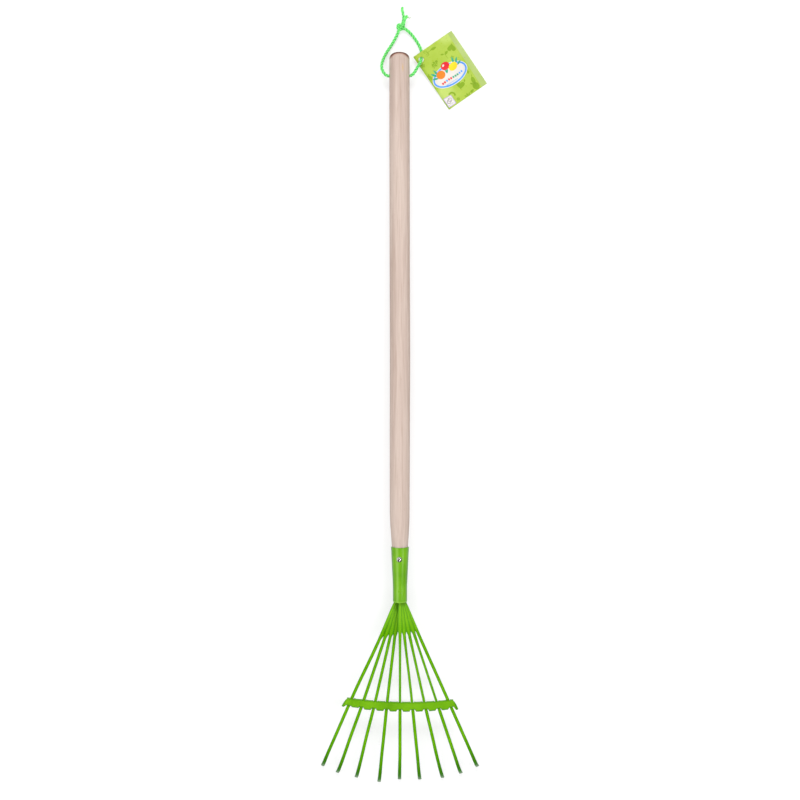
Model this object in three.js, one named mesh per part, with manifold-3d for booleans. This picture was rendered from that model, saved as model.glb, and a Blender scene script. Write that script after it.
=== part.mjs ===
// A small leaf rake lying on a flat surface, face up: a wooden handle in a painted
// steel socket, nine flat steel tines fanned out from one rivet inside the socket, a
// folded brace across them, and a rope loop with a folded card tag at the handle's end.
// Millimetres, +Z up. The handle points along +Y and the tines along -Y. The origin is
// on the surface, under the middle of the rake. The rake rests on the bent tips of its
// tines and on the end of its handle, so its own axis slopes by restTilt.
import * as THREE from 'three';
import { mergeVertices } from 'three/addons/utils/BufferGeometryUtils.js';
import Module from 'manifold-3d';

const wasm = await Module();
wasm.setup();

// ---- driving dimensions ----
// Along the rake's own axis, distances are measured from the mouth of the socket:
// positive towards the end of the handle, negative towards the tips of the tines.
const gap = 0.3;

const handleRadius = 12.6;
const handleEnd = 682;
const handleCornerRadius = 8;
const handleFoot = 24;
const cordHoleAt = 653.3;
const cordHoleRadius = 2.7;

const socketLength = 68;
const socketTaperStart = 20;
const socketMouthRadius = 8.75;
const socketTopRadius = 11.15;
const socketWall = 0.9;
const socketLip = 0.9;
const seamWidth = 0.5;

const screwAt = 53;
const screwHeadRadius = 3.15;
const screwHeadHeight = 1.9;
const screwShankRadius = 1.6;
const screwLength = 13;
const screwSlotTurn = 58;
const screwLean = THREE.MathUtils.degToRad(-5);

const rivetAt = 13.2;
const rivetRadius = 1.0;
const rivetHeadRadius = 2.3;
const rivetHeadHeight = 0.6;

const tineThickness = 0.75;
const tineWidth = 3.9;
const tineLevelPitch = 1.05;
const tineHoleRadius = 1.6;
const tineEyeRadius = 2.9;
const tineMouthWidth = 3.3;
const outerTineMouthWidth = 2.8;
const tineShoulderWidth = 6.1;
const tineLevelEnd = 112;
const bendRadius = 28;
const bendAngle = THREE.MathUtils.degToRad(70);
const bendTail = 14;

// One entry for each tine, from the left edge of the fan to the right. angle: degrees
// from the rake's axis. reach: how far its tip lies beyond the mouth of the socket.
// level: its place in the stack at the rivet. shoulder: distance from the rivet to the
// end of its wide root. waist: its width between the root and the brace.
const tines = [
  { angle: -23.95, reach: 208, level: -1, shoulder: 59.5, waist: 4.0 },
  { angle: -18.6, reach: 216.5, level: -2, shoulder: 55.5, waist: 3.8 },
  { angle: -12.8, reach: 222.5, level: -3, shoulder: 53.0, waist: 3.3 },
  { angle: -6.5, reach: 228, level: -4, shoulder: 51.5, waist: 3.4 },
  { angle: 0, reach: 225, level: 4, shoulder: 47.0, waist: 2.7 },
  { angle: 6.1, reach: 225, level: 3, shoulder: 48.5, waist: 2.8 },
  { angle: 12.4, reach: 223, level: 2, shoulder: 49.5, waist: 3.0 },
  { angle: 18.4, reach: 217.5, level: 1, shoulder: 49.5, waist: 2.7 },
  { angle: 23.85, reach: 209, level: 0, shoulder: 49.0, waist: 3.8 },
];

const braceTop = 123.4;
const braceArcRadius = 504;
const braceHalfLength = 65.6;
const braceHeight = 9.2;
const braceTabDepth = 2.3;
const braceTabHalfWidth = 3.9;
const braceTabSlope = 1.6;
const braceHornReach = 6.3;
const braceHornDrop = { left: 2.3, right: 3.8 };
const braceWall = 0.8;
const braceInside = 1.4;
const braceWeb = 1.0;
const braceSlotRoom = 0.9;

const restTilt = THREE.MathUtils.degToRad(1.24);
const mouthFromOrigin = -226.83;
const mouthHeight = 27.23;

const cordRadius = 2;
const cordSides = 10;
const cordInset = 1.1;
const knotRadii = [6.0, 5.2, 4.2];
const knotCentre = [1.0, 488.9, 4.25];

const tagWidth = 57.5;
const tagLength = 79;
const tagLeaf = 0.3;
const tagFoldGap = 0.2;
const tagFoldWidth = 1.2;
const tagBackShows = 6;
const tagHoleRadius = 3.3;
const tagHoleFromFold = 6.0;
const tagHoleFromEdge = 8.2;
const tagTurn = THREE.MathUtils.degToRad(34.7);
const tagTilt = THREE.MathUtils.degToRad(3.9);
const tagHoleAt = [26.5, 448.2, 5.4];

// Centre lines of the rope, in the rake's resting frame.
const leftCordRoute = [
  [-12.6, 426.3, 13.1], [-15.4, 426.4, 13.1], [-18.2, 428.0, 12.8], [-20.9, 431.6, 12.0],
  [-22.6, 436.0, 10.8], [-22.8, 440.6, 9.2], [-21.4, 446.6, 7.2], [-19.1, 452.5, 5.2],
  [-16.2, 458.2, 3.5], [-12.8, 463.6, 2.5], [-9.3, 469.2, 2.2], [-5.9, 475.2, 2.6],
  [-3.0, 481.0, 3.4], [-1.0, 486.0, 4.0],
];
const rightCordRoute = [
  [12.6, 426.3, 13.1], [14.8, 427.3, 13.1], [17.0, 429.3, 12.8], [19.2, 432.6, 12.1],
  [21.4, 436.6, 11.1], [23.5, 440.4, 9.9], [25.1, 443.4, 8.8], [26.1, 446.0, 7.5],
  [26.5, 448.2, 5.4], [26.8, 450.3, 3.4], [27.0, 452.8, 2.4], [27.1, 455.8, 2.1],
  [26.6, 460.0, 2.1], [24.9, 464.6, 2.1], [22.2, 469.6, 2.1], [18.6, 475.0, 2.3],
  [14.4, 480.2, 2.8], [9.8, 484.6, 3.4], [5.0, 487.8, 4.0],
];
const longTailRoute = [
  [2.2, 491.5, 3.6], [3.5, 495.6, 2.7], [4.3, 499.6, 2.1], [4.3, 503.6, 2.1],
  [3.6, 507.6, 2.1], [2.7, 511.4, 2.1], [3.4, 515.4, 2.1],
];
const shortTailRoute = [
  [4.8, 492.0, 7.0], [5.3, 495.6, 7.3], [6.3, 498.9, 7.0], [8.1, 501.5, 5.9],
  [10.2, 503.5, 4.3],
];

// ---- materials ----
function material(color, roughness, metalness) {
  return new THREE.MeshStandardMaterial({ color, roughness, metalness });
}

const greenPaint = () => material(0x76b41e, 0.42, 0.0);
const paleWood = () => material(0xd7c8be, 0.62, 0.0);
const brightSteel = () => material(0xc8c8c6, 0.3, 1.0);
const greenRope = () => material(0x6ee478, 0.6, 0.0);
const printedCard = () => material(0xb7d337, 0.35, 0.0);

// ---- solids ----
function toSolid(geometry) {
  const plain = geometry.clone();
  plain.deleteAttribute('normal');
  plain.deleteAttribute('uv');
  const merged = mergeVertices(plain, 1e-4);
  return new wasm.Manifold(new wasm.Mesh({
    numProp: 3,
    vertProperties: new Float32Array(merged.attributes.position.array),
    triVerts: new Uint32Array(merged.index.array),
  }));
}

function toGeometry(solid) {
  const mesh = solid.getMesh();
  const geometry = new THREE.BufferGeometry();
  geometry.setAttribute('position', new THREE.BufferAttribute(mesh.vertProperties, 3));
  geometry.setIndex(new THREE.BufferAttribute(mesh.triVerts, 1));
  geometry.computeVertexNormals();
  return geometry;
}

function cut(geometry, ...tools) {
  const solid = tools.reduce((rest, tool) => rest.subtract(toSolid(tool)), toSolid(geometry));
  return toGeometry(solid);
}

function named(name, geometry, look) {
  const mesh = new THREE.Mesh(geometry, look);
  mesh.name = name;
  return mesh;
}

// A rod along X, Y or Z through a point.
function rod(radius, length, axis, centre, sides = 24) {
  const geometry = new THREE.CylinderGeometry(radius, radius, length, sides);
  if (axis === 'x') geometry.rotateZ(Math.PI / 2);
  if (axis === 'z') geometry.rotateX(Math.PI / 2);
  return geometry.translate(...centre);
}

// A solid of revolution about Z, from a profile of [radius, height] pairs.
function turned(profile, sides) {
  const points = profile.map(([radius, height]) => new THREE.Vector2(radius, height));
  return new THREE.LatheGeometry(points, sides).rotateX(Math.PI / 2);
}

// A solid of revolution about Y.
function turnedAlongY(profile, sides) {
  const points = profile.map(([radius, height]) => new THREE.Vector2(radius, height));
  return new THREE.LatheGeometry(points, sides);
}

// ---- handle ----
function arcProfile(centreRadius, centreHeight, radius, fromDegrees, toDegrees, steps) {
  return Array.from({ length: steps + 1 }, (_, i) => {
    const turn = THREE.MathUtils.degToRad(fromDegrees + (toDegrees - fromDegrees) * i / steps);
    return [centreRadius + radius * Math.cos(turn), centreHeight + radius * Math.sin(turn)];
  });
}

function socketInnerRadius(at) {
  const along = Math.max(0, at - socketTaperStart) / (socketLength - socketTaperStart);
  return socketMouthRadius - socketWall + (socketTopRadius - socketMouthRadius) * along;
}

function makeHandle() {
  const footRadius = socketInnerRadius(handleFoot) - gap;
  const neckRadius = socketInnerRadius(socketLength) - gap;
  const profile = [
    [0, handleFoot],
    [footRadius - 0.8, handleFoot],
    [footRadius, handleFoot + 1.5],
    [neckRadius, socketLength],
    [10.5, 77],
    [11.35, 89],
    [11.9, 98],
    [12.2, 110],
    [12.45, 190],
    [handleRadius, 310],
    ...arcProfile(handleRadius - handleCornerRadius, handleEnd - handleCornerRadius,
      handleCornerRadius, 0, 82, 9),
    [0, handleEnd],
  ];
  const cordHole = rod(cordHoleRadius, 4 * handleRadius, 'x', [0, cordHoleAt, 0]);
  const screwHoleLength = screwLength + 2;
  const screwHole = rod(screwShankRadius + gap, screwHoleLength, 'z',
    [0, screwAt, socketInnerRadius(screwAt) + 2 - screwHoleLength / 2]).rotateY(screwLean);
  return named('handle', cut(turnedAlongY(profile, 40), cordHole, screwHole), paleWood());
}

// ---- socket and its fixings ----
function makeSocket() {
  const mouthInner = socketMouthRadius - socketWall;
  const profile = [
    [mouthInner, 0.2],
    [mouthInner + 0.35, 0],
    [socketMouthRadius, socketLip],
    [socketMouthRadius, socketTaperStart],
    [socketTopRadius, socketLength - 0.3],
    [socketTopRadius - 0.3, socketLength],
    [socketTopRadius - socketWall, socketLength],
    [mouthInner, socketTaperStart],
    [mouthInner, 0.2],
  ];
  const screwHole = rod(screwShankRadius + gap, 8, 'z', [0, screwAt, 10]).rotateY(screwLean);
  const rivetHoles = rod(rivetRadius + gap, 40, 'z', [0, rivetAt, 0]);
  const seam = new THREE.BoxGeometry(seamWidth, 2 * socketLength, 6)
    .translate(0, socketLength / 2, -socketMouthRadius - 1);
  return named('socket', cut(turnedAlongY(profile, 40), screwHole, rivetHoles, seam),
    greenPaint());
}

function makeScrew() {
  const seat = socketInnerRadius(screwAt) + socketWall + 0.35;
  const domeRadius = (screwHeadRadius ** 2 + screwHeadHeight ** 2) / (2 * screwHeadHeight);
  const domeEdge = THREE.MathUtils.radToDeg(Math.acos(screwHeadRadius / domeRadius));
  const profile = [
    [0, seat - screwLength],
    [screwShankRadius, seat - screwLength + 3],
    [screwShankRadius, seat],
    [screwHeadRadius, seat],
    ...arcProfile(0, seat + screwHeadHeight - domeRadius, domeRadius, domeEdge, 84, 6).slice(1),
    [0, seat + screwHeadHeight],
  ];
  const slot = new THREE.BoxGeometry(3 * screwHeadRadius, 0.8, 1)
    .rotateZ(THREE.MathUtils.degToRad(screwSlotTurn))
    .translate(0, 0, seat + screwHeadHeight - 0.3);
  const geometry = cut(turned(profile, 24), slot).rotateY(screwLean).translate(0, screwAt, 0);
  return named('socket_screw', geometry, brightSteel());
}

function makeRivet() {
  const seat = socketMouthRadius + 0.1;
  const profile = [
    [0, -seat - rivetHeadHeight],
    [rivetHeadRadius * 0.7, -seat - rivetHeadHeight * 0.75],
    [rivetHeadRadius, -seat],
    [rivetRadius, -seat],
    [rivetRadius, seat],
    [rivetHeadRadius, seat],
    [rivetHeadRadius * 0.7, seat + rivetHeadHeight * 0.75],
    [0, seat + rivetHeadHeight],
  ];
  return named('tine_rivet', turned(profile, 16).translate(0, rivetAt, 0), greenPaint());
}

// ---- tines ----
function smoothStep(from, to, value) {
  const t = THREE.MathUtils.clamp((value - from) / (to - from), 0, 1);
  return t * t * (3 - 2 * t);
}

// Width of a tine at a distance from the rivet, along the tine.
function tineWidthAt(tine, mouthWidth, distance) {
  if (distance < 9) {
    return THREE.MathUtils.lerp(2 * tineEyeRadius, mouthWidth, smoothStep(2, 9, distance));
  }
  if (distance < tine.shoulder) {
    const along = (distance - 9) / (tine.shoulder - 9);
    return THREE.MathUtils.lerp(mouthWidth, tineShoulderWidth, along);
  }
  const shoulderEnd = tine.shoulder + 6;
  const narrow = THREE.MathUtils.lerp(tineShoulderWidth, tineWidth * 0.97,
    smoothStep(tine.shoulder, shoulderEnd, distance));
  const waist = THREE.MathUtils.lerp(narrow, tine.waist,
    smoothStep(shoulderEnd, shoulderEnd + 22, distance));
  const brace = (braceTop + rivetAt) / Math.cos(THREE.MathUtils.degToRad(tine.angle));
  return THREE.MathUtils.lerp(waist, tineWidth, smoothStep(brace, brace + 14, distance));
}

// A station is the middle of the tine's section: its distance from the rivet in plan,
// its height, its slope and its width.
function tineStations(tine, mouthWidth) {
  const level = tine.level * tineLevelPitch;
  const tipDistance = (tine.reach + rivetAt) / Math.cos(THREE.MathUtils.degToRad(tine.angle));
  const bendReach = bendRadius * Math.sin(bendAngle) + bendTail * Math.cos(bendAngle);
  const bendStart = tipDistance - bendReach;
  const flat = [
    -2.6, -2.1, -1.2, 0, 2, 4.5, 7, 9, 22, 38, tine.shoulder, tine.shoulder + 2,
    tine.shoulder + 4, tine.shoulder + 6, 74, 88, 100, tineLevelEnd, 134, 142, 150, 165,
    bendStart,
  ];
  const stations = flat.map((distance) => {
    const drop = smoothStep(tine.shoulder + 4, tineLevelEnd, distance);
    const endRound = Math.sqrt(Math.max(0, tineEyeRadius ** 2 - Math.min(0, distance) ** 2));
    const width = distance < 0 ? 2 * endRound : tineWidthAt(tine, mouthWidth, distance);
    return { distance, height: level * (1 - drop), slope: 0, width };
  });
  const bendSteps = 8;
  for (let i = 1; i <= bendSteps; i += 1) {
    const turn = bendAngle * i / bendSteps;
    stations.push({
      distance: bendStart + bendRadius * Math.sin(turn),
      height: -bendRadius * (1 - Math.cos(turn)),
      slope: turn,
      width: tineWidth,
    });
  }
  const last = stations[stations.length - 1];
  stations.push({
    distance: last.distance + bendTail * Math.cos(bendAngle),
    height: last.height - bendTail * Math.sin(bendAngle),
    slope: bendAngle,
    width: tineWidth,
  });
  return stations;
}

// A strip of flat steel through its stations, closed at both ends. The outer edge of
// the two outermost tines stays straight where their inner edge widens.
function stripGeometry(stations, outerSide, outerHalfWidth) {
  const positions = [];
  const index = [];
  stations.forEach(({ distance, height, slope, width }) => {
    const half = tineThickness / 2;
    const rise = half * Math.cos(slope);
    const run = half * Math.sin(slope);
    const left = outerSide < 0 ? Math.min(width / 2, outerHalfWidth) : width / 2;
    const right = outerSide > 0 ? Math.min(width / 2, outerHalfWidth) : width / 2;
    positions.push(-left, -distance - run, height + rise);
    positions.push(right, -distance - run, height + rise);
    positions.push(right, -distance + run, height - rise);
    positions.push(-left, -distance + run, height - rise);
  });
  for (let i = 0; i + 1 < stations.length; i += 1) {
    for (let side = 0; side < 4; side += 1) {
      const a = 4 * i + side;
      const b = 4 * i + (side + 1) % 4;
      index.push(a, b + 4, b, a, a + 4, b + 4);
    }
  }
  const end = 4 * (stations.length - 1);
  index.push(0, 1, 2, 0, 2, 3);
  index.push(end, end + 2, end + 1, end, end + 3, end + 2);
  const geometry = new THREE.BufferGeometry();
  geometry.setAttribute('position', new THREE.Float32BufferAttribute(positions, 3));
  geometry.setIndex(index);
  return geometry;
}

function makeTine(tine, place) {
  const isOuter = place === 0 || place === tines.length - 1;
  const outerSide = isOuter ? Math.sign(tine.angle) : 0;
  const mouthWidth = isOuter ? outerTineMouthWidth : tineMouthWidth;
  const outerHalfWidth = tineWidth / 2;
  const strip = stripGeometry(tineStations(tine, mouthWidth), outerSide, outerHalfWidth);
  const hole = rod(tineHoleRadius, 20, 'z', [0, 0, 0], 16);
  const geometry = cut(strip, hole)
    .rotateZ(THREE.MathUtils.degToRad(tine.angle))
    .translate(0, rivetAt, 0);
  return named(`tine_${place + 1}`, geometry, greenPaint());
}

// ---- brace ----
// The brace is a strip folded along its upper edge, bowed in plan along a wide arc.
function braceEdge(across, depth) {
  const bow = braceArcRadius - Math.sqrt(braceArcRadius ** 2 - across ** 2);
  return new THREE.Vector2(across, -(braceTop - bow + depth));
}

function tineAcrossBrace(tine) {
  return Math.tan(THREE.MathUtils.degToRad(tine.angle)) * (braceTop + braceHeight + rivetAt);
}

// A horn at one end of the brace, from the corner of the fold to the notch beside the
// outermost tine. Its outer edge is bowed; its tip hangs below the strip by drop.
function braceHorn(side, drop) {
  const end = braceHalfLength;
  const tipDepth = braceHeight + 0.7 * drop;
  const outer = [0.2, 0.4, 0.6, 0.8, 1].map((part) =>
    braceEdge(side * (end + braceHornReach * part ** 0.72), tipDepth * part));
  const inner = [[4.9, 1.05], [3.9, 1], [1.6, 0.25], [0.2, -0.15]].map(([reach, share]) =>
    braceEdge(side * (end + reach), braceHeight + share * drop));
  return [...outer, ...inner];
}

// Lower edge, right to left: a horn at each end, and a tab between each pair of tines.
function braceLowerEdge() {
  const crossings = tines.map(tineAcrossBrace);
  const end = braceHalfLength;
  const edge = braceHorn(1, braceHornDrop.right);
  edge.push(braceEdge(end - 3.4, braceHeight));
  for (let i = crossings.length - 1; i > 0; i -= 1) {
    const middle = (crossings[i] + crossings[i - 1]) / 2;
    edge.push(braceEdge(middle + braceTabHalfWidth + braceTabSlope, braceHeight));
    edge.push(braceEdge(middle + braceTabHalfWidth, braceHeight + braceTabDepth));
    edge.push(braceEdge(middle - braceTabHalfWidth, braceHeight + braceTabDepth));
    edge.push(braceEdge(middle - braceTabHalfWidth - braceTabSlope, braceHeight));
  }
  edge.push(braceEdge(-end + 3.4, braceHeight));
  edge.push(...braceHorn(-1, braceHornDrop.left).reverse());
  return edge;
}

function braceUpperEdge(depth, halfLength) {
  const steps = 16;
  return Array.from({ length: steps + 1 }, (_, i) =>
    braceEdge(-halfLength + 2 * halfLength * i / steps, depth));
}

function slab(outline, bottom, top) {
  return new THREE.ExtrudeGeometry(new THREE.Shape(outline),
    { depth: top - bottom, bevelEnabled: false }).translate(0, 0, bottom);
}

function makeBrace() {
  const outside = braceInside / 2 + braceWall;
  const body = slab([...braceUpperEdge(0, braceHalfLength), ...braceLowerEdge()],
    -outside, outside);
  const wide = braceHalfLength + 20;
  const hollow = slab([
    ...braceUpperEdge(braceWeb, wide),
    braceEdge(wide, braceHeight + 20),
    braceEdge(-wide, braceHeight + 20),
  ], -braceInside / 2, braceInside / 2);
  const slots = tines.map((tine) => {
    const width = Math.max(tine.waist, tineWidth * 0.85) + braceSlotRoom;
    const middle = braceTop + rivetAt;
    return new THREE.BoxGeometry(width, 24, braceInside)
      .translate(0, -middle / Math.cos(THREE.MathUtils.degToRad(tine.angle)), 0)
      .rotateZ(THREE.MathUtils.degToRad(tine.angle))
      .translate(0, rivetAt, 0);
  });
  return named('tine_brace', cut(body, hollow, ...slots), greenPaint());
}

// ---- rope loop ----
function tube(route, steps) {
  const points = route.map((point) => new THREE.Vector3(...point));
  const path = new THREE.CatmullRomCurve3(points, false, 'centripetal');
  const section = new THREE.Shape();
  for (let i = 0; i < cordSides; i += 1) {
    const turn = 2 * Math.PI * i / cordSides;
    const x = cordRadius * Math.cos(turn);
    const y = cordRadius * Math.sin(turn);
    if (i === 0) section.moveTo(x, y);
    else section.lineTo(x, y);
  }
  section.closePath();
  return new THREE.ExtrudeGeometry(section, { steps, extrudePath: path });
}

function knotGeometry(clearance) {
  const radii = knotRadii.map((radius) => radius + clearance);
  return new THREE.SphereGeometry(1, 20, 12).rotateX(Math.PI / 2)
    .scale(...radii).translate(...knotCentre);
}

function cordNode(name, route, steps) {
  return named(name, cut(tube(route, steps), knotGeometry(gap)), greenRope());
}

function makeRope() {
  const inHole = rod(cordRadius, 2 * (handleRadius - cordInset), 'x',
    [0, leftCordRoute[0][1], leftCordRoute[0][2]], cordSides);
  return [
    named('cord_in_handle', inHole, greenRope()),
    cordNode('cord_left', leftCordRoute, 18),
    cordNode('cord_right', rightCordRoute, 22),
    named('cord_knot', knotGeometry(0), greenRope()),
    cordNode('cord_tail_long', longTailRoute, 5),
    cordNode('cord_tail_short', shortTailRoute, 4),
  ];
}

// ---- tag ----
// A folded card. Its fold is the long edge nearest the handle; its back leaf is wider
// than its front leaf. Built with its hole at the origin, then turned and tilted.
function makeTag() {
  const thickness = 2 * tagLeaf + tagFoldGap;
  const left = -tagHoleFromFold;
  const top = tagHoleFromEdge;
  const box = (x0, x1, y0, y1, z0, z1) => new THREE.BoxGeometry(x1 - x0, y1 - y0, z1 - z0)
    .translate((x0 + x1) / 2, (y0 + y1) / 2, (z0 + z1) / 2);
  const card = box(left, left + tagWidth, top - tagLength, top, -thickness / 2, thickness / 2);
  const between = box(left + tagFoldWidth, left + tagWidth + 1, top - tagLength - 1, top + 1,
    -tagFoldGap / 2, tagFoldGap / 2);
  const trimmed = box(left + tagWidth - tagBackShows, left + tagWidth + 1,
    top - tagLength - 1, top + 1, -tagFoldGap / 2, thickness);
  const hole = rod(tagHoleRadius, 6, 'z', [0, 0, 0], 24);
  const tag = named('card_tag', cut(card, between, trimmed, hole), printedCard());
  tag.rotation.set(tagTilt, 0, tagTurn, 'ZXY');
  tag.position.set(...tagHoleAt);
  return tag;
}

// ---- the rake ----
const rake = new THREE.Group();
rake.add(makeHandle(), makeSocket(), makeScrew(), makeRivet());
rake.add(...tines.map(makeTine), makeBrace());
rake.rotation.x = -restTilt;
rake.position.set(0, mouthFromOrigin, mouthHeight);

const leafRake = new THREE.Group();
leafRake.add(rake, ...makeRope(), makeTag());

export default leafRake;
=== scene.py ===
import random
from contextlib import contextmanager
from math import acos, ceil, cos, degrees, exp, hypot, pi, radians, sin, sqrt, tan

import bmesh
import bpy
from mathutils import Matrix, Vector


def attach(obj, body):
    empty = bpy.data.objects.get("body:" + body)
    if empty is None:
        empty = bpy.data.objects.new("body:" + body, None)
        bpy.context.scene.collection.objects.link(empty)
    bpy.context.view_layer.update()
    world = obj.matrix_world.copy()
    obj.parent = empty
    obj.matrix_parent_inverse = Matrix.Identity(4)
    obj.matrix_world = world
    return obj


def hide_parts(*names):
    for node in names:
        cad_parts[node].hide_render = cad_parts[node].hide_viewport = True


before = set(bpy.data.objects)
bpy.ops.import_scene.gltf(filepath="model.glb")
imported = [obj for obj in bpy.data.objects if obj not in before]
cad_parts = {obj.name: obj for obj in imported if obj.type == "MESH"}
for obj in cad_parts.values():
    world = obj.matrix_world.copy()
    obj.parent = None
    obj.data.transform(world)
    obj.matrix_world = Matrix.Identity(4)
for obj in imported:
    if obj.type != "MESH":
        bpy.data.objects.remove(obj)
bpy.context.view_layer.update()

MM = 0.001

# ---- driving dimensions, in millimetres ----
HANDLE_RADIUS = 12.6
HANDLE_END = 682
HANDLE_CORNER = 8
HANDLE_FOOT = 24
HANDLE_FOOT_PLAY = 0.3
CORD_HOLE_AT = 653.3
CORD_HOLE_RADIUS = 2.7

SOCKET_LENGTH = 68
SOCKET_TAPER_START = 20
SOCKET_MOUTH_RADIUS = 8.75
SOCKET_TOP_RADIUS = 11.15
SOCKET_WALL = 0.9
SOCKET_LIP_DIP = 0.8
SEAM_WIDTH = 0.4

SCREW_AT = 53
SCREW_HEAD_RADIUS = 3.15
SCREW_HEAD_HEIGHT = 1.9
SCREW_SHANK_RADIUS = 1.6
SCREW_HOLE_RADIUS = 1.8
SCREW_LENGTH = 13
SCREW_SLOT_TURN = 58
SCREW_SLOT_HALF_WIDTH = 0.72
SCREW_SLOT_DEPTH = 1.3
SCREW_LEAN = radians(-5)

RIVET_AT = 13.2
RIVET_RADIUS = 1.0
RIVET_HEAD_RADIUS = 2.3
RIVET_HEAD_HEIGHT = 0.6

SOFT_EDGE = 0.22
TINE_THICKNESS = 0.75
TINE_WIDTH = 3.9
TINE_CROWN = 0.3
TINE_TIP_FLARE = 0.5
TINE_LEVEL_PITCH = 1.05
TINE_EYE_RADIUS = 2.9
TINE_HOLE_RADIUS = 1.6
TINE_MOUTH_END = 9
TINE_MOUTH_WIDTH = 3.3
OUTER_TINE_MOUTH_WIDTH = 2.8
TINE_SHOULDER_WIDTH = 6.1
TINE_LEVEL_END = 112
BEND_RADIUS = 28
BEND_ANGLE = radians(70)
BEND_TAIL = 14

# angle, reach beyond the mouth, level in the stack, end of the wide root, waist width
TINES = [
    (-23.95, 208, -1, 59.5, 4.0),
    (-18.6, 216.5, -2, 55.5, 3.8),
    (-12.8, 222.5, -3, 53.0, 3.6),
    (-6.5, 228, -4, 51.5, 3.7),
    (0, 225, 4, 47.0, 3.0),
    (6.1, 225, 3, 48.5, 3.1),
    (12.4, 223, 2, 49.5, 3.2),
    (18.4, 217.5, 1, 49.5, 3.0),
    (23.85, 209, 0, 49.0, 3.8),
]

# how far each tine strays sideways at four depths below the rivet: to the right is positive
SWAY_DEPTHS = (0, 60, 129, 194, 236)
TINE_SWAY = [
    (0, 1.0, -0.9, -0.5, 1.6),
    (0, 0.7, 0.5, -0.9, -1.4),
    (0, 0.7, 0.4, -0.9, -1.4),
    (0, 0, -0.2, 0.4, 1.1),
    (0, 0, 0, 0, -0.6),
    (0, -0.4, 0.2, -0.1, -0.6),
    (0, -0.2, -0.1, 0.7, 1.6),
    (0, 0, -0.1, 0.2, -0.2),
    (0, -0.5, -0.1, 0, -1.3),
]

BRACE_TOP = 123.4
BRACE_SKEW = radians(1.0)
BRACE_ARC_RADIUS = 504
BRACE_HALF_LENGTH = 65.6
BRACE_HEIGHT = 9.2
BRACE_TAB_DEPTH = 2.3
BRACE_HORN_REACH = 6.3
BRACE_HORN_DROP = {-1: 2.3, 1: 3.8}
BRACE_WALL = 0.8
BRACE_INSIDE = 1.4
FLANGE_STEPS = 6
FOLD_STEPS = 8

# the dowel isn't quite straight: how far it strays sideways along the rake
HANDLE_SWAY_AT = (24, 68, 130, 190, 310, 440, 640, 690)
HANDLE_SWAY = (0, -0.1, -0.4, -0.25, 0.05, -0.3, -0.65, -0.75)

REST_TILT = radians(1.24)
MOUTH_FROM_ORIGIN = -226.83
MOUTH_HEIGHT = 27.23

# ---- rope, in metres ----
CORD_DIAMETER = 0.004
CORD_LAY = 0.0125
ROPE_STEP = 0.0004
ROPE_SIDES = 42
TAIL_WIDTH = 0.0033
FRAYED_FIBRES = 22
STRAND_SIDES = 10
FINE_FIBRE = 0.00042
COARSE_FIBRE = 0.00055
LOWEST_FIBRE = 0.0006
LEFT_ROUTE = [
    (-0.0126, 0.4263, 0.0131), (-0.0154, 0.4264, 0.0131), (-0.0182, 0.4280, 0.0128),
    (-0.0209, 0.4316, 0.0120), (-0.0226, 0.4360, 0.0108), (-0.0228, 0.4406, 0.0092),
    (-0.0214, 0.4466, 0.0072), (-0.0191, 0.4525, 0.0052), (-0.0162, 0.4582, 0.0035),
    (-0.0128, 0.4636, 0.0025), (-0.0093, 0.4692, 0.0022), (-0.0059, 0.4752, 0.0026),
    (-0.0030, 0.4810, 0.0034), (-0.0010, 0.4860, 0.0040),
]
RIGHT_ROUTE = [
    (0.0126, 0.4263, 0.0131), (0.0148, 0.4273, 0.0131), (0.0170, 0.4293, 0.0128),
    (0.0192, 0.4326, 0.0121), (0.0214, 0.4366, 0.0111), (0.0235, 0.4404, 0.0099),
    (0.0251, 0.4434, 0.0088), (0.0261, 0.4460, 0.0075), (0.0265, 0.4482, 0.0054),
    (0.0268, 0.4503, 0.0034), (0.0270, 0.4528, 0.0024), (0.0271, 0.4558, 0.0021),
    (0.0266, 0.4600, 0.0021), (0.0249, 0.4646, 0.0021), (0.0222, 0.4696, 0.0021),
    (0.0186, 0.4750, 0.0023), (0.0144, 0.4802, 0.0028), (0.0098, 0.4846, 0.0034),
    (0.0050, 0.4878, 0.0040),
]
LONG_TAIL_ROUTE = [
    (0.0022, 0.4915, 0.0036), (0.0035, 0.4956, 0.0027), (0.0043, 0.4996, 0.0021),
    (0.0043, 0.5036, 0.0021), (0.0036, 0.5076, 0.0021), (0.0027, 0.5114, 0.0021),
    (0.0034, 0.5154, 0.0021),
]
SHORT_TAIL_ROUTE = [
    (0.0048, 0.4920, 0.0070), (0.0053, 0.4956, 0.0073), (0.0063, 0.4989, 0.0070),
    (0.0081, 0.5015, 0.0059), (0.0102, 0.5035, 0.0043),
]
KNOT_CENTRE = Vector((0.0010, 0.4889, 0.00425))

# place and reach of the small knot in the wood
WOOD_KNOT_ACROSS = (0.0034, 0.0014)
WOOD_KNOT_ALONG = (0.4345, 0.0065)

# ---- the card, in millimetres, but for the place of its hole ----
TAG_WIDTH = 57.5
TAG_LENGTH = 79
TAG_LEAF = 0.3
TAG_FOLD_GAP = 0.2
TAG_FOLD_RADIUS = 0.4
TAG_FRONT_SKEW = 1.9
TAG_BACK_SHOWS = 6
TAG_HOLE_RADIUS = 3.3
TAG_HOLE_FROM_FOLD = 6.0
TAG_HOLE_FROM_EDGE = 8.2
TAG_TURN = radians(34.7)
TAG_TILT = radians(3.9)
TAG_HOLE_AT = (0.0265, 0.4482, 0.0054)

# ---- camera: metres above and along from the origin, and a lens in millimetres ----
CAMERA_HEIGHT = 1.95
CAMERA_FROM_ORIGIN = 0.0227
CAMERA_LENS = 70

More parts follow.
